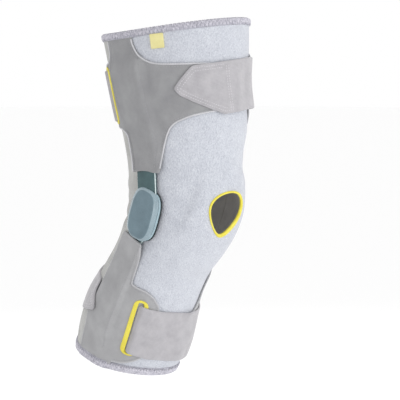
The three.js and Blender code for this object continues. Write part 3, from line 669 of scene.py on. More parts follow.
def linear(code):
    """Linear colour of a six-digit screen colour."""
    parts = [int(code[i:i + 2], 16) / 255 for i in (0, 2, 4)]
    return tuple(p / 12.92 if p <= 0.04045 else ((p + 0.055) / 1.055) ** 2.4 for p in parts) + (1,)


class Shader:
    """One material and short ways to add nodes to it."""

    def __init__(self, name, **sockets):
        self.material = bpy.data.materials.new(name)
        self.material.use_nodes = True
        self.tree = self.material.node_tree
        self.shader = self.tree.nodes["Principled BSDF"]
        for socket, value in sockets.items():
            self.shader.inputs[socket.replace("_", " ")].default_value = value

    def add(self, kind, inputs=(), **settings):
        node = self.tree.nodes.new("ShaderNode" + kind)
        for key, value in settings.items():
            setattr(node, key, value)
        for key, value in dict(inputs).items():
            if isinstance(value, bpy.types.NodeSocket):
                self.tree.links.new(value, node.inputs[key])
            else:
                node.inputs[key].default_value = value
        return node

    def finish(self, colour, height, depth, strength=1.0):
        bump = self.add("Bump", {"Height": height, "Distance": depth * MM, "Strength": strength})
        self.tree.links.new(colour, self.shader.inputs["Base Color"])
        self.tree.links.new(bump.outputs["Normal"], self.shader.inputs["Normal"])
        return self.material

    def math(self, operation, first, second):
        return self.add("Math", {0: first, 1: second}, operation=operation).outputs[0]

    def weigh(self, first, share, second, other):
        """Sum of two values, each by its own share."""
        return self.math("ADD", self.math("MULTIPLY", first, share), self.math("MULTIPLY", second, other))

    def remap(self, value, low, high, to_low, to_high):
        inputs = {"Value": value, "From Min": low, "From Max": high, "To Min": to_low, "To Max": to_high}
        return self.add("MapRange", inputs).outputs[0]

    def noise(self, size, detail=2.0, stretch=(1, 1, 1), roughness=0.6):
        """Noise whose grains are about size millimetres."""
        where = self.add("TexCoord").outputs["Object"]
        scaled = self.add("Mapping", {"Vector": where, "Scale": stretch}).outputs[0]
        return self.add("TexNoise", {"Vector": scaled, "Scale": 1 / (size * MM), "Detail": detail,
                                     "Roughness": roughness}).outputs["Fac"]

    def ribs(self, pitch, angle=0.0, waver=0.0):
        """Ribs of the cloth, pitch in millimetres, at an angle to its width."""
        where = self.add("TexCoord").outputs["UV"]
        turned = self.add("Mapping", {"Vector": where, "Rotation": (0, 0, math.radians(angle))}).outputs[0]
        return self.add("TexWave", {"Vector": turned, "Scale": UV_SPAN * math.pi / 10 / pitch,
                                    "Distortion": waver, "Detail": 1.0, "Detail Scale": 2.0}).outputs["Fac"]

    def ramp(self, value, spots, shades):
        """Shades that follow a value, each from its own spot."""
        node = self.add("ValToRGB", {"Fac": value})
        for i, (spot, code) in enumerate(zip(spots, shades)):
            element = node.color_ramp.elements[i] if i < 2 else node.color_ramp.elements.new(spot)
            element.position = spot
            element.color = linear(code)
        return node.outputs["Color"]

    def mix(self, factor, first, second, blend="MIX"):
        inputs = {0: factor, 6: first, 7: second}
        return self.add("Mix", inputs, data_type="RGBA", blend_type=blend).outputs[2]


def terry_knit(name, shades, fleck):
    """Heathered loop-pile knit: small soft loops, cloudy shade, thin darker fibres and painted shade in the
    pits between the loops.
    """
    s = Shader(name, Roughness=0.95, Sheen_Weight=0.3, Sheen_Roughness=0.6, Specular_IOR_Level=0.15)
    where = s.add("TexCoord").outputs["Object"]
    pile = s.add("TexVoronoi", {"Vector": where, "Scale": 1 / (1.1 * MM), "Randomness": 0.9})
    loops = pile.outputs["Distance"]
    cloud = s.noise(12, 2)
    fibre = s.noise(0.9, 2, (1, 1, 0.45))
    tone = s.weigh(cloud, 0.25, fibre, 0.75)
    colour = s.ramp(tone, (0.36, 0.5, 0.64), shades)
    flecks = s.remap(s.noise(1.5, 1, (1, 1, 0.6)), 0.6, 0.7, 0, 0.26)
    colour = s.mix(flecks, colour, linear(fleck))
    # Painted shade: the pits between the loops are darkened toward the darkest shade
    painted_pit_shade = s.remap(loops, 0.35, 0.85, 0, 0.3)
    colour = s.mix(painted_pit_shade, colour, linear(shades[0]), "MULTIPLY")
    height = s.math("SUBTRACT", s.math("MULTIPLY", fibre, 0.5), loops)
    return s.finish(colour, height, 0.5, 0.55)


def rib_cloth(name, shades, ribs, depth, grain=0.8, cloud_size=14, roughness=0.9, sheen=0.2, crossing=0.5):
    """Woven or knitted cloth from sets of ribs (pitch, angle, weight)."""
    s = Shader(name, Roughness=roughness, Sheen_Weight=sheen, Sheen_Roughness=0.5, Specular_IOR_Level=0.2)
    height = s.math("MULTIPLY", s.noise(grain, 2), crossing)
    for pitch, angle, weight in ribs:
        height = s.math("ADD", height, s.math("MULTIPLY", s.ribs(pitch, angle, 0.6), weight))
    total = crossing + sum(weight for _, _, weight in ribs)
    tone = s.weigh(s.math("DIVIDE", height, total), 0.45, s.noise(cloud_size, 3), 0.55)
    colour = s.ramp(tone, (0.3, 0.5, 0.7), shades)
    return s.finish(colour, height, depth, 0.5)


def plain_finish(name, shades, grain, depth, roughness, cloud_size=20, **sockets):
    """Moulded or coated surface with a fine grain and soft changes of shade."""
    s = Shader(name, Roughness=roughness, **sockets)
    fine = s.noise(grain, 2)
    tone = s.weigh(fine, 0.4, s.noise(cloud_size, 3), 0.6)
    colour = s.ramp(tone, (0.36, 0.5, 0.64), shades)
    gloss = s.remap(s.noise(6, 4), 0.3, 0.7, roughness - 0.06, roughness + 0.08)
    s.tree.links.new(gloss, s.shader.inputs["Roughness"])
    return s.finish(colour, fine, depth, 0.4)


FRONT_KNIT = terry_knit("front_knit", ("b3b6be", "bfc2ca", "cacdd3"), "9a9fab")
BACK_KNIT = rib_cloth("back_knit", ("959593", "afafad", "c0c0be"), [(1.3, 0, 1.0), (0.9, 90, 0.5)], 0.35)
LINING = rib_cloth("lining", ("b4b2b0", "c6c4c2", "d3d1cf"), [(1.1, 0, 0.8), (1.1, 90, 0.8)], 0.3)
PANEL_WEAVE = {"ribs": [(0.8, 38, 0.7), (0.8, -52, 0.3)], "depth": 0.2, "grain": 0.6, "cloud_size": 22}
PANEL_CLOTH = rib_cloth("panel_cloth", ("818184", "8e8e90", "9c9d9e"), sheen=0.12, **PANEL_WEAVE)
# The same cloth as the upper panels in a lighter copy: painted light on the lower panels
LIT_LOWER_PANEL_CLOTH = rib_cloth("lit_lower_panel_cloth", ("909092", "9e9ea0", "acacae"), sheen=0.12, **PANEL_WEAVE)
PIPING = rib_cloth("piping", ("acacb0", "bebec2", "cdcdd1"), [(0.9, 60, 1.0)], 0.2)
LOWER_PIPING = rib_cloth("lower_piping", ("a2a2a5", "b0b0b3", "bcbcbf"), [(0.9, 60, 1.0)], 0.2)
STRAP_LOOP = rib_cloth("strap_loop", ("98969a", "a7a5a9", "b3b1b4"), [(1.2, 90, 0.6)], 0.35, grain=0.55,
                       cloud_size=10, sheen=0.35, crossing=1.0)
STRAP_BACK = rib_cloth("strap_back", ("9a989b", "a9a7aa", "b5b3b6"), [(0.9, 90, 1.0), (0.9, 0, 0.6)], 0.3)
HEM_BASE = rib_cloth("hem_base", ("92929c", "a7a7b1", "b6b6bf"), [(1.2, 0, 1.0)], 0.3, grain=0.7)
HEM_THREAD = rib_cloth("hem_thread", ("7c7c89", "bcbac4", "e0dee5"), [(0.5, 30, 0.5)], 0.1, 0.5, 2)
SEWING_TWIST = {"ribs": [(0.4, 40, 1.0)], "depth": 0.08, "cloud_size": 4}
STITCH_THREAD = rib_cloth("stitch_thread", ("88888b", "959598", "a2a2a5"), **SEWING_TWIST)
STRAP_THREAD = rib_cloth("strap_thread", ("b8b6ba", "c8c6ca", "d6d4d8"), **SEWING_TWIST)
YELLOW_TAPE = rib_cloth("yellow_tape", ("d0c23a", "e0d34c", "eae066"), [(0.9, 0, 1.0)], 0.2, cloud_size=8)
LABEL_RIBS = [(0.6, 0, 0.8), (0.6, 90, 0.8)]
LABEL_CLOTH = rib_cloth("label_cloth", ("cfc789", "dbd398", "e4dda6"), LABEL_RIBS, 0.12)
YELLOW_PLASTIC = plain_finish("yellow_plastic", ("cdbf35", "d9cc45", "e2d75a"), 0.7, 0.06, 0.38)
HINGE_PLASTIC = plain_finish("hinge_plastic", ("586c76", "637882", "6e838d"), 0.5, 0.06, 0.36)
# A lighter copy of the hinge plastic: painted highlight on the cover's chamfer
HINGE_PAINTED_HIGHLIGHT = plain_finish(
    "hinge_painted_highlight", ("7b8e97", "869aa3", "91a5ae"), 0.5, 0.03, 0.27, Specular_IOR_Level=0.9)
HINGE_RIM = plain_finish("hinge_rim", ("8da3ac", "9ab0b9", "a5bbc4"), 0.5, 0.05, 0.32)
# Near-black painted shadow on the base's lower flange, where the hinge stands off the sleeve
HINGE_PAINTED_SHADOW = plain_finish("hinge_painted_shadow", ("141b1e", "1c2528", "253033"), 0.5, 0.05, 0.42)
BARE_METAL = plain_finish("bare_metal", ("c4d0d2", "d2dedf", "deeaea"), 0.4, 0.02, 0.25, Metallic=0.6)
ARM_METAL = plain_finish("arm_metal", ("3f5356", "4b6164", "566d70"), 0.4, 0.03, 0.34, Metallic=0.55)


# Sleeve and hems


def opening_edge(turn, margin=0.0):
    """Edge of the kneecap opening, grown by a margin."""
    around_half = OPENING["around_half"] + margin / degree_length(OPENING["around"], OPENING["along"])
    along_half = OPENING["along_half"] + OPENING_MARGIN_ALONG * margin
    around = OPENING["around"] + around_half * np.cos(turn) * (1 + OPENING["egg"] * np.sin(turn))
    return around, OPENING["along"] + along_half * np.sin(turn) - OPENING["lean"] * np.cos(turn)


def sleeve_half(name, start, end, material, pierced=False):
    """Front or back of the sleeve; a pierced half has the kneecap opening, thinner at its edge."""
    around = np.linspace(start, end, SLEEVE_COLUMNS)
    low, high = bottom_seam(around) - SLEEVE_TUCK, top_seam(around) + SLEEVE_TUCK
    along = low + (high - low) * np.linspace(0, 1, SLEEVE_ROWS)[:, None]
    around, along = np.broadcast_to(around, along.shape).ravel(), along.ravel()
    faces = grid_faces(SLEEVE_ROWS, SLEEVE_COLUMNS)
    thickness = SLEEVE_THICKNESS
    if pierced:
        centre = (OPENING["around"], OPENING["along"])
        edge = np.stack(opening_edge(turns(OPENING_STATIONS)), -1) - centre
        spot = np.stack([around, along], -1) - centre
        edge_turn, spot_turn = (np.arctan2(p[:, 1], p[:, 0]) for p in (edge, spot))
        reach = np.interp(spot_turn, edge_turn, np.hypot(*edge.T), period=2 * math.pi)
        distance = np.hypot(*spot.T)
        within = distance < reach
        faces = faces[~within[faces].all(1)]
        grow = np.where(within, reach / np.maximum(distance, 1e-6), 1)
        around, along = (centre + spot * grow[:, None]).T
        used, renumbered = np.unique(faces, return_inverse=True)
        faces, around, along = renumbered.reshape(faces.shape), around[used], along[used]
        rim = OPENING_RIM["thickness"]
        beyond = np.maximum(distance - reach, 0)[used]
        thickness = rim + (SLEEVE_THICKNESS - rim) * smooth(beyond / OPENING_RIM["fade"])
    uv = np.stack([wrap_degrees(around - (start + end) / 2), along], -1) + UV_SPAN / 2
    materials = [material, LINING]
    return add_sheet(name + "_knit", around, along, 0.0, -thickness, faces, materials, name, uv)


def hem_swell(edge, around):
    """Rise of a hem where it also takes in a side panel."""
    across = wrap_degrees(around)
    swell = np.zeros_like(across)
    for side, columns in PANELS.values():
        caught = [row[0] for row in columns if (row[2] if edge["middle"] > 0 else -row[1]) == TO_HEM]
        if caught:
            from_edge = np.minimum(across * side - min(caught), max(caught) - across * side)
            swell = np.maximum(swell, smooth(from_edge / HEM_SWELL["run"] + HEM_SWELL["start"]))
    return HEM_SWELL["rise"] * swell


def hem(name, edge):
    """Hem band with two overlocking threads zigzagging over it."""
    side = math.copysign(1, edge["middle"])
    around = np.linspace(0, 360, HEM_STATIONS, endpoint=False)
    inward, lift, taken = np.array(HEM_PROFILE).T
    inward = inward * (edge["height"] / HEM_DRAWN_HEIGHT)
    lift = lift + hem_swell(edge, around)[:, None] * taken
    points = place(around[:, None], edge_at(edge, around)[:, None] - side * inward, lift)
    band = add_ring(name + "_band", points, HEM_BASE, name, HEM_CLOTH_PITCH)
    share, inward, rise, taken = (np.tile(column, HEM_LOOPS) for column in np.array(HEM_WEAVE).T)
    wander = np.random.default_rng(edge["seed"])
    strand = oval_profile(HEM_STRAND["half_width"], HEM_STRAND["half_height"], HEM_STRAND["sides"])
    bodies = []
    for phase in HEM_PHASES:
        angle = (np.repeat(np.arange(HEM_LOOPS), len(HEM_WEAVE)) + phase + share) * 360 / HEM_LOOPS
        jitter = np.repeat(wander.normal(0, HEM_STRAND["wander"], HEM_LOOPS), len(HEM_WEAVE))
        depth = inward * edge["height"] / HEM_DRAWN_HEIGHT + jitter * (inward > HEM_STRAND["held"])
        lift = rise + hem_swell(edge, angle) * taken + HEM_STRAND["stagger"] * phase
        level = edge_at(edge, angle)
        centre = place(angle, level - side * depth, lift)
        bodies.append(sweep(centre, normal_at(angle, level), strand, closed=True))
    return [band, add_bodies(name + "_threads", bodies, HEM_THREAD, shift=0)]


def kneecap_ring():
    """Folded tape round the opening, wider at its lower inner side, with a row of stitches."""
    turn = turns(BINDING_STATIONS)
    aside = (np.degrees(turn) - BINDING["middle"]) / BINDING["reach"]
    lap = BINDING["lap"] + BINDING["swell"] * np.exp(-aside ** 2)
    rings = [place(*opening_edge(turn, lap * share + margin), lift)
             for share, margin, lift in BINDING_PROFILE]
    tape = add_ring("kneecap_binding", np.stack(rings, 1), YELLOW_TAPE, "kneecap_ring",
                    BINDING_CLOTH_PITCH)
    around, along = opening_edge(turn, lap * BINDING_STITCHES["share"] + BINDING_STITCHES["margin"])
    line = np.stack([around, along, np.full(len(turn), BINDING_STITCHES["lift"])], -1)
    bodies = stitch_bodies(np.vstack([line, line[:1]]), pitch=2.2, length=1.5, width=0.35)
    return [tape, add_bodies("kneecap_stitches", bodies, YELLOW_TAPE, shift=0)]


# Hinges


def arm_lift(along):
    """Lift of an arm, which settles from the hinge into its pocket."""
    settled = smooth((np.abs(along - HINGE_ALONG) - ARM_SETTLING["from"]) / ARM_SETTLING["run"])
    return ARM_SETTLING["at_hinge"] + (ARM_SETTLING["in_pocket"] - ARM_SETTLING["at_hinge"]) * settled


def hinge_frame(side):
    """Middle of a hinge on the sleeve, and its directions across, up and out."""
    around = side * HINGE_AROUND
    origin = place(around, HINGE_ALONG)
    out = unit(place(around, HINGE_ALONG, 1.0) - origin)
    up = unit(place(around, HINGE_ALONG + 1) - place(around, HINGE_ALONG - 1))
    up = unit(up - out * (up @ out))
    return origin, np.cross(up, out), up, out


def oval_stack(name, side, layers, materials, painted_light_layers):
    """Body of stacked ovals (height, half width, half length), closed at both ends.

    The squarish ovals tilt with the shank; the last argument says which layers take the second material:
    painted shadow for the base's flange, painted highlight for the cover's chamfer.
    """
    origin, across, up, out = hinge_frame(side)
    turn = turns(HINGE_STATIONS)
    cos, sin = (np.sign(v) * np.abs(v) ** (2 / HINGE_POWER) for v in (np.cos(turn), np.sin(turn)))
    ends = [(layers[0], HINGE_MIDDLE), *((layers[-1], share) for share in HINGE_CLOSING)]
    ends = [(height, width * share, length * share) for (height, width, length), share in ends]
    stack = np.array([ends[0], *layers, *ends[1:]])
    height, half_width, half_length = stack.T
    wide, long = half_width[:, None] * cos, half_length[:, None] * sin
    tilt = -math.radians(HINGE_TILT) * side
    flat = np.stack([wide * math.cos(tilt) - long * math.sin(tilt),
                     wide * math.sin(tilt) + long * math.cos(tilt)], -1)
    points = origin + MM * (flat[..., :1] * across + flat[..., 1:] * up + height[:, None, None] * out)
    second = np.concatenate([np.arange(len(turn)) + layer * len(turn) for layer in painted_light_layers])
    faces = tube_faces(len(stack), len(turn))
    uv = flat + UV_SPAN / 2
    add_piece(name + "_shell", points, faces, materials, [name], uv, second, crease=28)


def hinge_arm(name, side, end):
    """Flat bar from the hinge into its pocket, with chamfered edges."""
    away = math.copysign(1, end)
    along = np.linspace(HINGE_ALONG + away * ARM_START, end, ARM_STATIONS)
    around = side * arm_around(along)[:, 0]
    middle = place(around, along)
    normal = normal_at(around, along)
    across = place(around + 1, along) - place(around - 1, along)
    across = unit(across - normal * (across * normal).sum(1, keepdims=True))
    wide, high = ARM_HALF_WIDTH[int(away)], ARM_THICKNESS
    edge = [
        (wide, 0.15), (wide, high - ARM_CHAMFER), (wide - 0.1, high - ARM_CHAMFER + 0.12),
        (wide - ARM_CHAMFER, high - 0.05), (wide - ARM_CHAMFER - 0.15, high),
    ]
    profile = np.array([*((-x, y) for x, y in edge), (0, high), *edge[::-1], (0, 0)])
    lift = arm_lift(along)[:, None] + profile[:, 1]
    points = middle[:, None] + MM * (across[:, None] * profile[:, :1] + normal[:, None] * lift[..., None])
    uv = np.stack(np.broadcast_arrays(profile[:, 0], along[:, None]), -1) + UV_SPAN / 2
    bright = [i * len(profile) + j for i in range(len(along) - 1) for j in ARM_BRIGHT]
    faces = tube_faces(len(along), len(profile))
    materials = [ARM_METAL, BARE_METAL]
    add_piece(name + "_bar", points, faces, materials, [name], uv, bright, crease=20)


# Side panels and slots


def pocket_rise(across, along):
    """Height of a panel's underside over the arm in its pocket."""
    aside = np.abs(across - arm_around(along)[..., 0])
    reach = 1 - smooth((np.abs(along) - ARM_END - POCKET_END["past"]) / POCKET_END["run"])
    half = np.where(along > 0, *POCKET_HALF)
    bow = 0.5 * np.radians(np.minimum(aside, half)) ** 2 * section_at(along)[..., 2]
    fade = 1 - smooth((aside - half) / np.where(along > 0, *POCKET_FADE))
    return reach * fade * (arm_lift(along) + ARM_THICKNESS + POCKET_CLEARANCE + bow)


def panel_span(columns, across):
    """Low and high ends of a panel at angles from the front of the leg."""
    angle, low, high = np.array(columns, float).T
    return np.interp(across, angle, low), np.interp(across, angle, high)


def panel_outline(side, columns):
    """Outline of a panel, arched over its arm and tucked a little way under the hems."""
    across = np.arange(columns[0][0], columns[-1][0] + 0.01, OUTLINE_COLUMN)
    low, high = panel_span(columns, across)
    around = side * across
    aside = (across - MOUTH_ARCH["middle"]) / MOUTH_ARCH["half"]
    arch = MOUTH_ARCH["rise"] * np.clip(1 - aside ** 2, 0, 1)
    low = np.where(low > 0, low + arch, np.maximum(low, bottom_seam(around) - PANEL_TUCK))
    high = np.minimum(high, top_seam(around) + PANEL_TUCK)
    return np.vstack([np.stack([across, low], -1), np.stack([across, high], -1)[::-1]])


def slot_loop(slot, margin):
    """Rounded rectangle round a slot, in around and along."""
    _, around, along, half, heading = SLOTS[slot]
    per_degree = float(degree_length(around, along))
    middle = around + heading * (SLOT_RING_WIDTH + SLOT_WIDTH) / 2 / per_degree
    half_width, half_height = SLOT_WIDTH / 2 + margin, half + margin * SLOT_RING_END_SHARE
    radius = min(SLOT_CORNER + margin, half_width)
    corner = np.linspace(0, math.pi / 2, SLOT_CORNER_STEPS)
    quarter = np.stack([half_width - radius + radius * np.cos(corner),
                        half_height - radius + radius * np.sin(corner)], -1)
    turned = [quarter, quarter[::-1] * (-1, 1), -quarter, quarter[::-1] * (1, -1)]
    return np.vstack(turned) / (per_degree, 1) + (middle, along)


def panel_top(across, along, edge=None):
    """Lift of a panel's upper face."""
    thickness = PANEL_THICKNESS * (1 if edge is None else edge_round(edge))
    return PANEL_GAP + pocket_rise(across, along) + thickness


def free_runs(loop):
    """Stretches of a panel's outline that aren't caught in a hem or over an arm."""
    around, along = loop.T
    free = (along < top_seam(around) - HEM_CLEARANCE) & (along > bottom_seam(around) + HEM_CLEARANCE)
    free &= np.abs(along) > np.where(along > 0, *POCKET_MOUTHS)
    if free.all():
        return [np.vstack([loop, loop[:1]])]
    start = int(np.flatnonzero(~free)[0])
    loop, free = np.roll(loop, -start, axis=0), np.roll(free, -start)
    parts = np.split(np.arange(len(loop)), np.flatnonzero(np.diff(free)) + 1)
    return [loop[part] for part in parts if free[part[0]] and len(part) > SHORTEST_RUN]


def panel(name, side, columns):
    """Panel cloth with its grooves, its piping and its stitches."""
    high = "upper" in name
    loop = counterclockwise(rounded_loop(panel_outline(side, columns), OUTLINE_STEP, OUTLINE_ROUNDING))
    slots = [slot for slot, row in SLOTS.items() if row[0] == name]
    holes = [resample(slot_loop(slot, 0.0), 1.0, closed=True) for slot in slots]
    seams = [np.array(line, float) for line in POCKET_SEAMS["upper" if high else "lower"]]
    flat, faces, edge, seam = pattern(loop, holes, seams)
    across, along = flat.T
    under = PANEL_GAP + pocket_rise(across, along)
    seam_groove = SEAM_GROOVE["depth"] * np.exp(-(seam / SEAM_GROOVE["half"]) ** 2)
    edge_groove = EDGE_GROOVE["depth"] * np.exp(-((edge - EDGE_GROOVE["inset"]) / EDGE_GROOVE["half"]) ** 2)
    upper = panel_top(across, along, edge) - (seam_groove + edge_groove)
    # The lower panels take the lighter copy of the panel cloth, painted light
    materials = [PANEL_CLOTH if high else LIT_LOWER_PANEL_CLOTH, LINING]
    cloth = add_sheet(name + "_cloth", side * across, along, upper, under, faces, materials,
                      name, flat + UV_SPAN / 2)

    def laid(row, sunk):
        return np.stack([side * row[:, 0], row[:, 1], panel_top(row[:, 0], row[:, 1]) - sunk], -1)

    signs = np.array([side, 1.0])
    round_welt = oval_profile(WELT["half_width"], WELT["half_height"], WELT["sides"])
    piping, thread = [], []
    for run in free_runs(loop * signs):
        welt = laid(shifted(run * signs, WELT["inset"], closed=False), WELT["sunk"])
        piping.append(sweep(place(*welt.T), normal_at(welt[:, 0], welt[:, 1]), round_welt))
        row = shifted(run * signs, EDGE_GROOVE["inset"], closed=False)
        thread += stitch_bodies(laid(row, EDGE_STITCH_SUNK))
    for line in seams:
        row = resample(line, 1.0)
        thread += stitch_bodies(laid(row[inside(loop, row)], SEAM_STITCH_SUNK))
    welt_cloth = PIPING if high else LOWER_PIPING
    return cloth, [
        add_bodies(name + "_piping", piping, welt_cloth, axes=(1, 2)),
        add_bodies(name + "_stitches", thread, STITCH_THREAD, axes=(1, 2)),
    ]


def slot_ring(name):
    """Moulded frame of a strap slot."""
    seat = PANEL_GAP + PANEL_THICKNESS + SLOT_RING_SEAT
    rings = [resample(slot_loop(name, margin), SLOT_RING_STEP, closed=True)
             for margin, _ in SLOT_RING_PROFILE]
    share = np.linspace(0, 1, len(rings[len(rings) // 2]), endpoint=False)
    loops = []
    for (_, height), ring in zip(SLOT_RING_PROFILE, rings):
        line = resample(np.vstack([ring, ring[:1]]), 1.0)
        line = between(share, np.linspace(0, 1, len(line)), line)
        loops.append(place(line[:, 0], line[:, 1], seat + height))
    pitch = SLOT_RING_STEP, SLOT_RING_STEP
    add_ring(name + "_frame", np.stack(loops, 1), YELLOW_PLASTIC, name, pitch)


# Straps


def layers_top(around, along):
    """Top of the panels under a strap."""
    top = np.zeros(np.broadcast(around, along).shape)
    for side, columns in PANELS.values():
        across = wrap_degrees(around) * side
        low, high = panel_span(columns, across)
        caught = (across > columns[0][0] - 1) & (across < columns[-1][0] + 1)
        caught &= (along > low - 1) & (along < high + 1)
        top = np.maximum(top, np.where(caught, panel_top(across, along), 0))
    return top


def bridged(values, reach, blur):
    """Highest value within reach along the last axis, smoothed, as a tight strap bridges what it passes."""
    count = values.shape[-1]
    ends = [(0, 0)] * (values.ndim - 1)
    padded = np.pad(values, ends + [(reach, reach)], mode="edge")
    highest = np.max([padded[..., i:i + count] for i in range(2 * reach + 1)], axis=0)
    padded = np.pad(highest, ends + [(blur, blur)], mode="edge")
    weights = np.hanning(2 * blur + 3)[1:-1]
    return sum(w * padded[..., i:i + count] for i, w in enumerate(weights / weights.sum()))


def strap(name, slot, width, path, end, tip, flare):
    """Strap out of its slot, round the leg and back on itself to a stitched tip."""
    _, leg, leg_along, _, heading = SLOTS[slot]
    slot_degree = float(degree_length(leg, leg_along))
    start = leg + heading * (SLOT_RING_WIDTH / 2 + STRAP_START) / slot_degree
    middle = Curve(path)
    dense = np.linspace(start, end, STRAP_LINE_POINTS)
    run = lengths(place(dense, middle(dense)[:, 0])) / MM
    length = run[-1]
    half = width / 2

    def spread(flat):
        """Around and along of flat places, given as distance from the slot and from the middle line."""
        around = np.interp(flat[:, 0], run, dense)
        centre = middle(around)[:, 0]
        climb = middle(around + 0.5)[:, 0] - middle(around - 0.5)[:, 0]
        degree = degree_length(around, centre)
        slant = np.hypot(degree, climb)
        return around - flat[:, 1] * climb / slant / degree, centre + flat[:, 1] * degree / slant

    stations, shares = np.arange(0, length + 1, 1.0), np.linspace(-1, 1, STRAP_ROWS)
    rows = np.array([layers_top(*spread(np.stack([stations, np.full(len(stations), share * half)], -1)))
                     for share in shares])
    local = bridged(bridged(rows, *BRIDGE_ALONG).T, *BRIDGE_ACROSS).T
    whole = bridged(rows.max(0), *BRIDGE_WHOLE)
    free_end = smooth((stations - length + STRAP_TIP_FREE["from"]) / STRAP_TIP_FREE["run"])
    carried = local + BRIDGE_SHARE * (1 - free_end) * (whole - local)
    ring_top = PANEL_GAP + PANEL_THICKNESS + SLOT_RING_THICKNESS + STRAP_CLEARANCE
    over = ring_top * (1 - smooth((stations - SLOT_WIDTH - SLOT_RING_WIDTH) / STRAP_OUT["ring_fade"]))
    out = smooth((stations - STRAP_OUT["from"]) / STRAP_OUT["run"])
    ride = GAP + out * (np.maximum(carried, over) + STRAP_CLEARANCE - GAP)

    def lift_at(flat):
        row = np.clip((flat[:, 1] / half + 1) / 2, 0, 1) * (len(shares) - 1)
        low = np.minimum(row.astype(int), len(shares) - 2)
        station = np.clip(flat[:, 0], 0, len(stations) - 1.001)
        left = station.astype(int)
        across, ahead = row - low, station - left
        lift = ((ride[low, left] * (1 - ahead) + ride[low, left + 1] * ahead) * (1 - across)
                + (ride[low + 1, left] * (1 - ahead) + ride[low + 1, left + 1] * ahead) * across)
        around = wrap_degrees(spread(flat)[0])
        loose = flare * np.exp(-((around - STRAP_FLARE["around"]) / STRAP_FLARE["reach"]) ** 2)
        loose *= smooth(STRAP_FLARE["middle"] - STRAP_FLARE["slope"] * flat[:, 1] / half)
        turn = flat[:, 0] / STRAP_WAVE["long"] + flat[:, 1] / STRAP_WAVE["cross"]
        wave = STRAP_WAVE["height"] * np.sin(turn)
        wave *= smooth((flat[:, 0] - STRAP_WAVE["from"]) / STRAP_WAVE["run"])
        return lift + STRAP_LIFT + wave + loose

    corners = [(0, half), (0, -half), *((length - back, share * half) for back, share in tip)]
    loop = rounded_loop(np.array(corners, float), OUTLINE_STEP, STRAP_ROUNDING)
    flat, faces, edge, _ = pattern(loop, step=STRAP_MESH_STEP)
    around, along = spread(flat)
    under = lift_at(flat)
    upper = under + STRAP_THICKNESS * edge_round(edge, *STRAP_EDGE)
    uv = flat + (STRAP_CLOTH_START, UV_SPAN / 2)
    webbing = add_sheet(name + "_webbing", around, along, upper, under, faces, [STRAP_LOOP, STRAP_BACK],
                        name, uv)
    return {"webbing": webbing, "loop": counterclockwise(loop), "spread": spread, "lift": lift_at,
            "length": length, "half": half}


def strap_stitches(name, sewn, rows, cross_lines):
    """Rows of stitches inside the edge near the tip, and lines across the strap."""
    bodies = []

    def sew(flat):
        around, along = sewn["spread"](flat)
        lift = sewn["lift"](flat) + STRAP_THICKNESS - STRAP_STITCH_SUNK
        return stitch_bodies(np.stack([around, along, lift], -1), pitch=2.4, length=1.8, width=0.55)

    for inset, reach in rows:
        line = shifted(sewn["loop"], inset, closed=True)
        near = line[:, 0] > sewn["length"] - reach
        first = int(np.flatnonzero(near & ~np.roll(near, 1))[0])
        bodies += sew(np.roll(line, -first, axis=0)[:int(near.sum())])
    for back, share in cross_lines:
        across = np.linspace(-1, 1, STRAP_CROSS_POINTS) * sewn["half"] * share
        bodies += sew(np.stack([np.full(len(across), sewn["length"] - back), across], -1))
    return add_bodies(name, bodies, STRAP_THREAD)


def label_tab():
    """Blank woven tab with a bead inside its edge, sewn down at its top and bottom."""
    per_degree = float(degree_length(LABEL["around"], LABEL["along"]))
    half = np.array([LABEL["half_width"] / per_degree, LABEL["half_height"]])
    corners = np.array([(-1, -1), (1, -1), (1, 1), (-1, 1)]) * half + (LABEL["around"], LABEL["along"])
    loop = rounded_loop(corners, LABEL_STEP, LABEL_ROUNDING)
    flat, faces, edge, _ = pattern(loop, step=LABEL_MESH_STEP)
    around, along = flat.T
    bead = LABEL_BEAD["height"] * np.exp(-((edge - LABEL_BEAD["inset"]) / LABEL_BEAD["half"]) ** 2)
    upper = GAP + LABEL["thickness"] * edge_round(edge, *LABEL_EDGE) + bead
    tab = add_sheet("label_tab_cloth", around, along, upper, LABEL["under"], faces,
                    [LABEL_CLOTH, LABEL_CLOTH], "label_tab", flat + UV_SPAN / 2)
    bodies = []
    reach = LABEL_STITCHES["reach"] * half[0]
    across = np.linspace(-reach, reach, LABEL_STITCHES["points"]) + LABEL["around"]
    for level in LABEL_STITCHES["levels"]:
        row = np.full_like(across, LABEL["along"] + level * half[1])
        line = np.stack([across, row, np.full_like(across, GAP + LABEL_STITCHES["lift"])], -1)
        bodies += stitch_bodies(line, pitch=1.7, length=1.2, width=0.3, height=0.2)
    return tab, add_bodies("label_tab_stitches", bodies, LABEL_CLOTH)


# Making the brace

front = sleeve_half("sleeve_front", -SEAM_AROUND, SEAM_AROUND, FRONT_KNIT, pierced=True)
back_start, back_end = SEAM_AROUND + SEAM_GAP, 360 - SEAM_GAP - SEAM_AROUND
back = sleeve_half("sleeve_back", back_start, back_end, BACK_KNIT)
top_band, bottom_band = hem("top_hem", TOP_EDGE), hem("bottom_hem", BOTTOM_EDGE)
binding = kneecap_ring()
panels = {panel_name: panel(panel_name, *layout) for panel_name, layout in PANELS.items()}
for slot_name in SLOTS:
    slot_ring(slot_name)
for prefix, hinge_side in (("outer", 1), ("inner", -1)):
    # Each base's lower flange takes painted shadow and each cover's chamfer a painted highlight
    oval_stack(prefix + "_hinge_base", hinge_side, BASE_LAYERS, [HINGE_RIM, HINGE_PAINTED_SHADOW], BASE_SHADOW_LAYERS)
    oval_stack(prefix + "_hinge_cover", hinge_side, COVER_LAYERS, [HINGE_PLASTIC, HINGE_PAINTED_HIGHLIGHT], COVER_HIGHLIGHT_LAYERS)
    hinge_arm(prefix + "_arm_upper", hinge_side, ARM_END)
    hinge_arm(prefix + "_arm_lower", hinge_side, -ARM_END)
upper_strap, lower_strap = (strap(strap_name, **layout) for strap_name, layout in STRAPS.items())
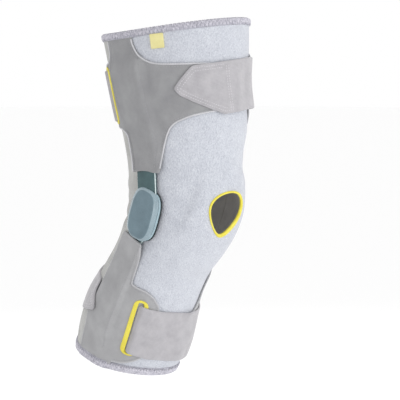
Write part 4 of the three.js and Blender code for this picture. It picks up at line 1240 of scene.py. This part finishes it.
# Sewn rows as inset, reach from the tip; lines across as distance from the tip, share of the width
upper_sewing = strap_stitches(
    "upper_strap_stitches", upper_strap, [(2.6, 50), (5.4, 48)], [(51, 0.92), (53.6, 0.92)])
lower_sewing = strap_stitches("lower_strap_stitches", lower_strap, [(2.6, 45), (5.0, 43)], [(47, 0.92)])
label, label_sewing = label_tab()

# The sleeve halves and the panel cloths, which lie under the straps
under_straps = [front, back, *(cloth for cloth, _ in panels.values())]


# Stage, light and camera


def add_floor():
    signs = (-1, -1), (1, -1), (1, 1), (-1, 1)
    corners = [(x * FLOOR_REACH, y * FLOOR_REACH, FLOOR_LEVEL) for x, y in signs]
    mesh = bpy.data.meshes.new("floor")
    mesh.from_pydata(corners, [], [(0, 1, 2, 3)])
    shader = Shader("floor", Base_Color=(0.98, 0.98, 0.98, 1), Roughness=0.9, Specular_IOR_Level=0.1)
    mesh.materials.append(shader.material)
    floor = add_object("floor", mesh)


def add_light(name, place_at, size, power):
    light = bpy.data.lights.new(name, "AREA")
    light.shape, light.size, light.energy = "DISK", size, power
    lamp = add_object(name, light)
    lamp.location = place_at
    lamp.rotation_euler = (-Vector(place_at)).to_track_quat("-Z", "Y").to_euler()


def add_camera():
    camera = bpy.data.cameras.new("camera")
    camera.lens, camera.sensor_width = CAMERA["lens"], CAMERA["sensor"]
    camera.shift_x, camera.shift_y = CAMERA["shift"]
    seat = add_object("camera", camera)
    azimuth, elevation = math.radians(CAMERA["azimuth"]), math.radians(CAMERA["elevation"])
    level = math.cos(elevation)
    outward = Vector((math.sin(azimuth) * level, -math.cos(azimuth) * level, math.sin(elevation)))
    seat.location = outward * CAMERA["away"]
    seat.rotation_euler = outward.to_track_quat("Z", "Y").to_euler()
    bpy.context.scene.camera = seat


add_floor()
for light_name, layout in LIGHTS.items():
    add_light(light_name, *layout)
world = bpy.data.worlds.new("studio")
world.use_nodes = True
world.node_tree.nodes["Background"].inputs["Color"].default_value = (1, 1, 1, 1)
world.node_tree.nodes["Background"].inputs["Strength"].default_value = 1.0
bpy.context.scene.world = world
bpy.context.scene.view_settings.view_transform = "Standard"
add_camera()

bpy.context.view_layer.update()
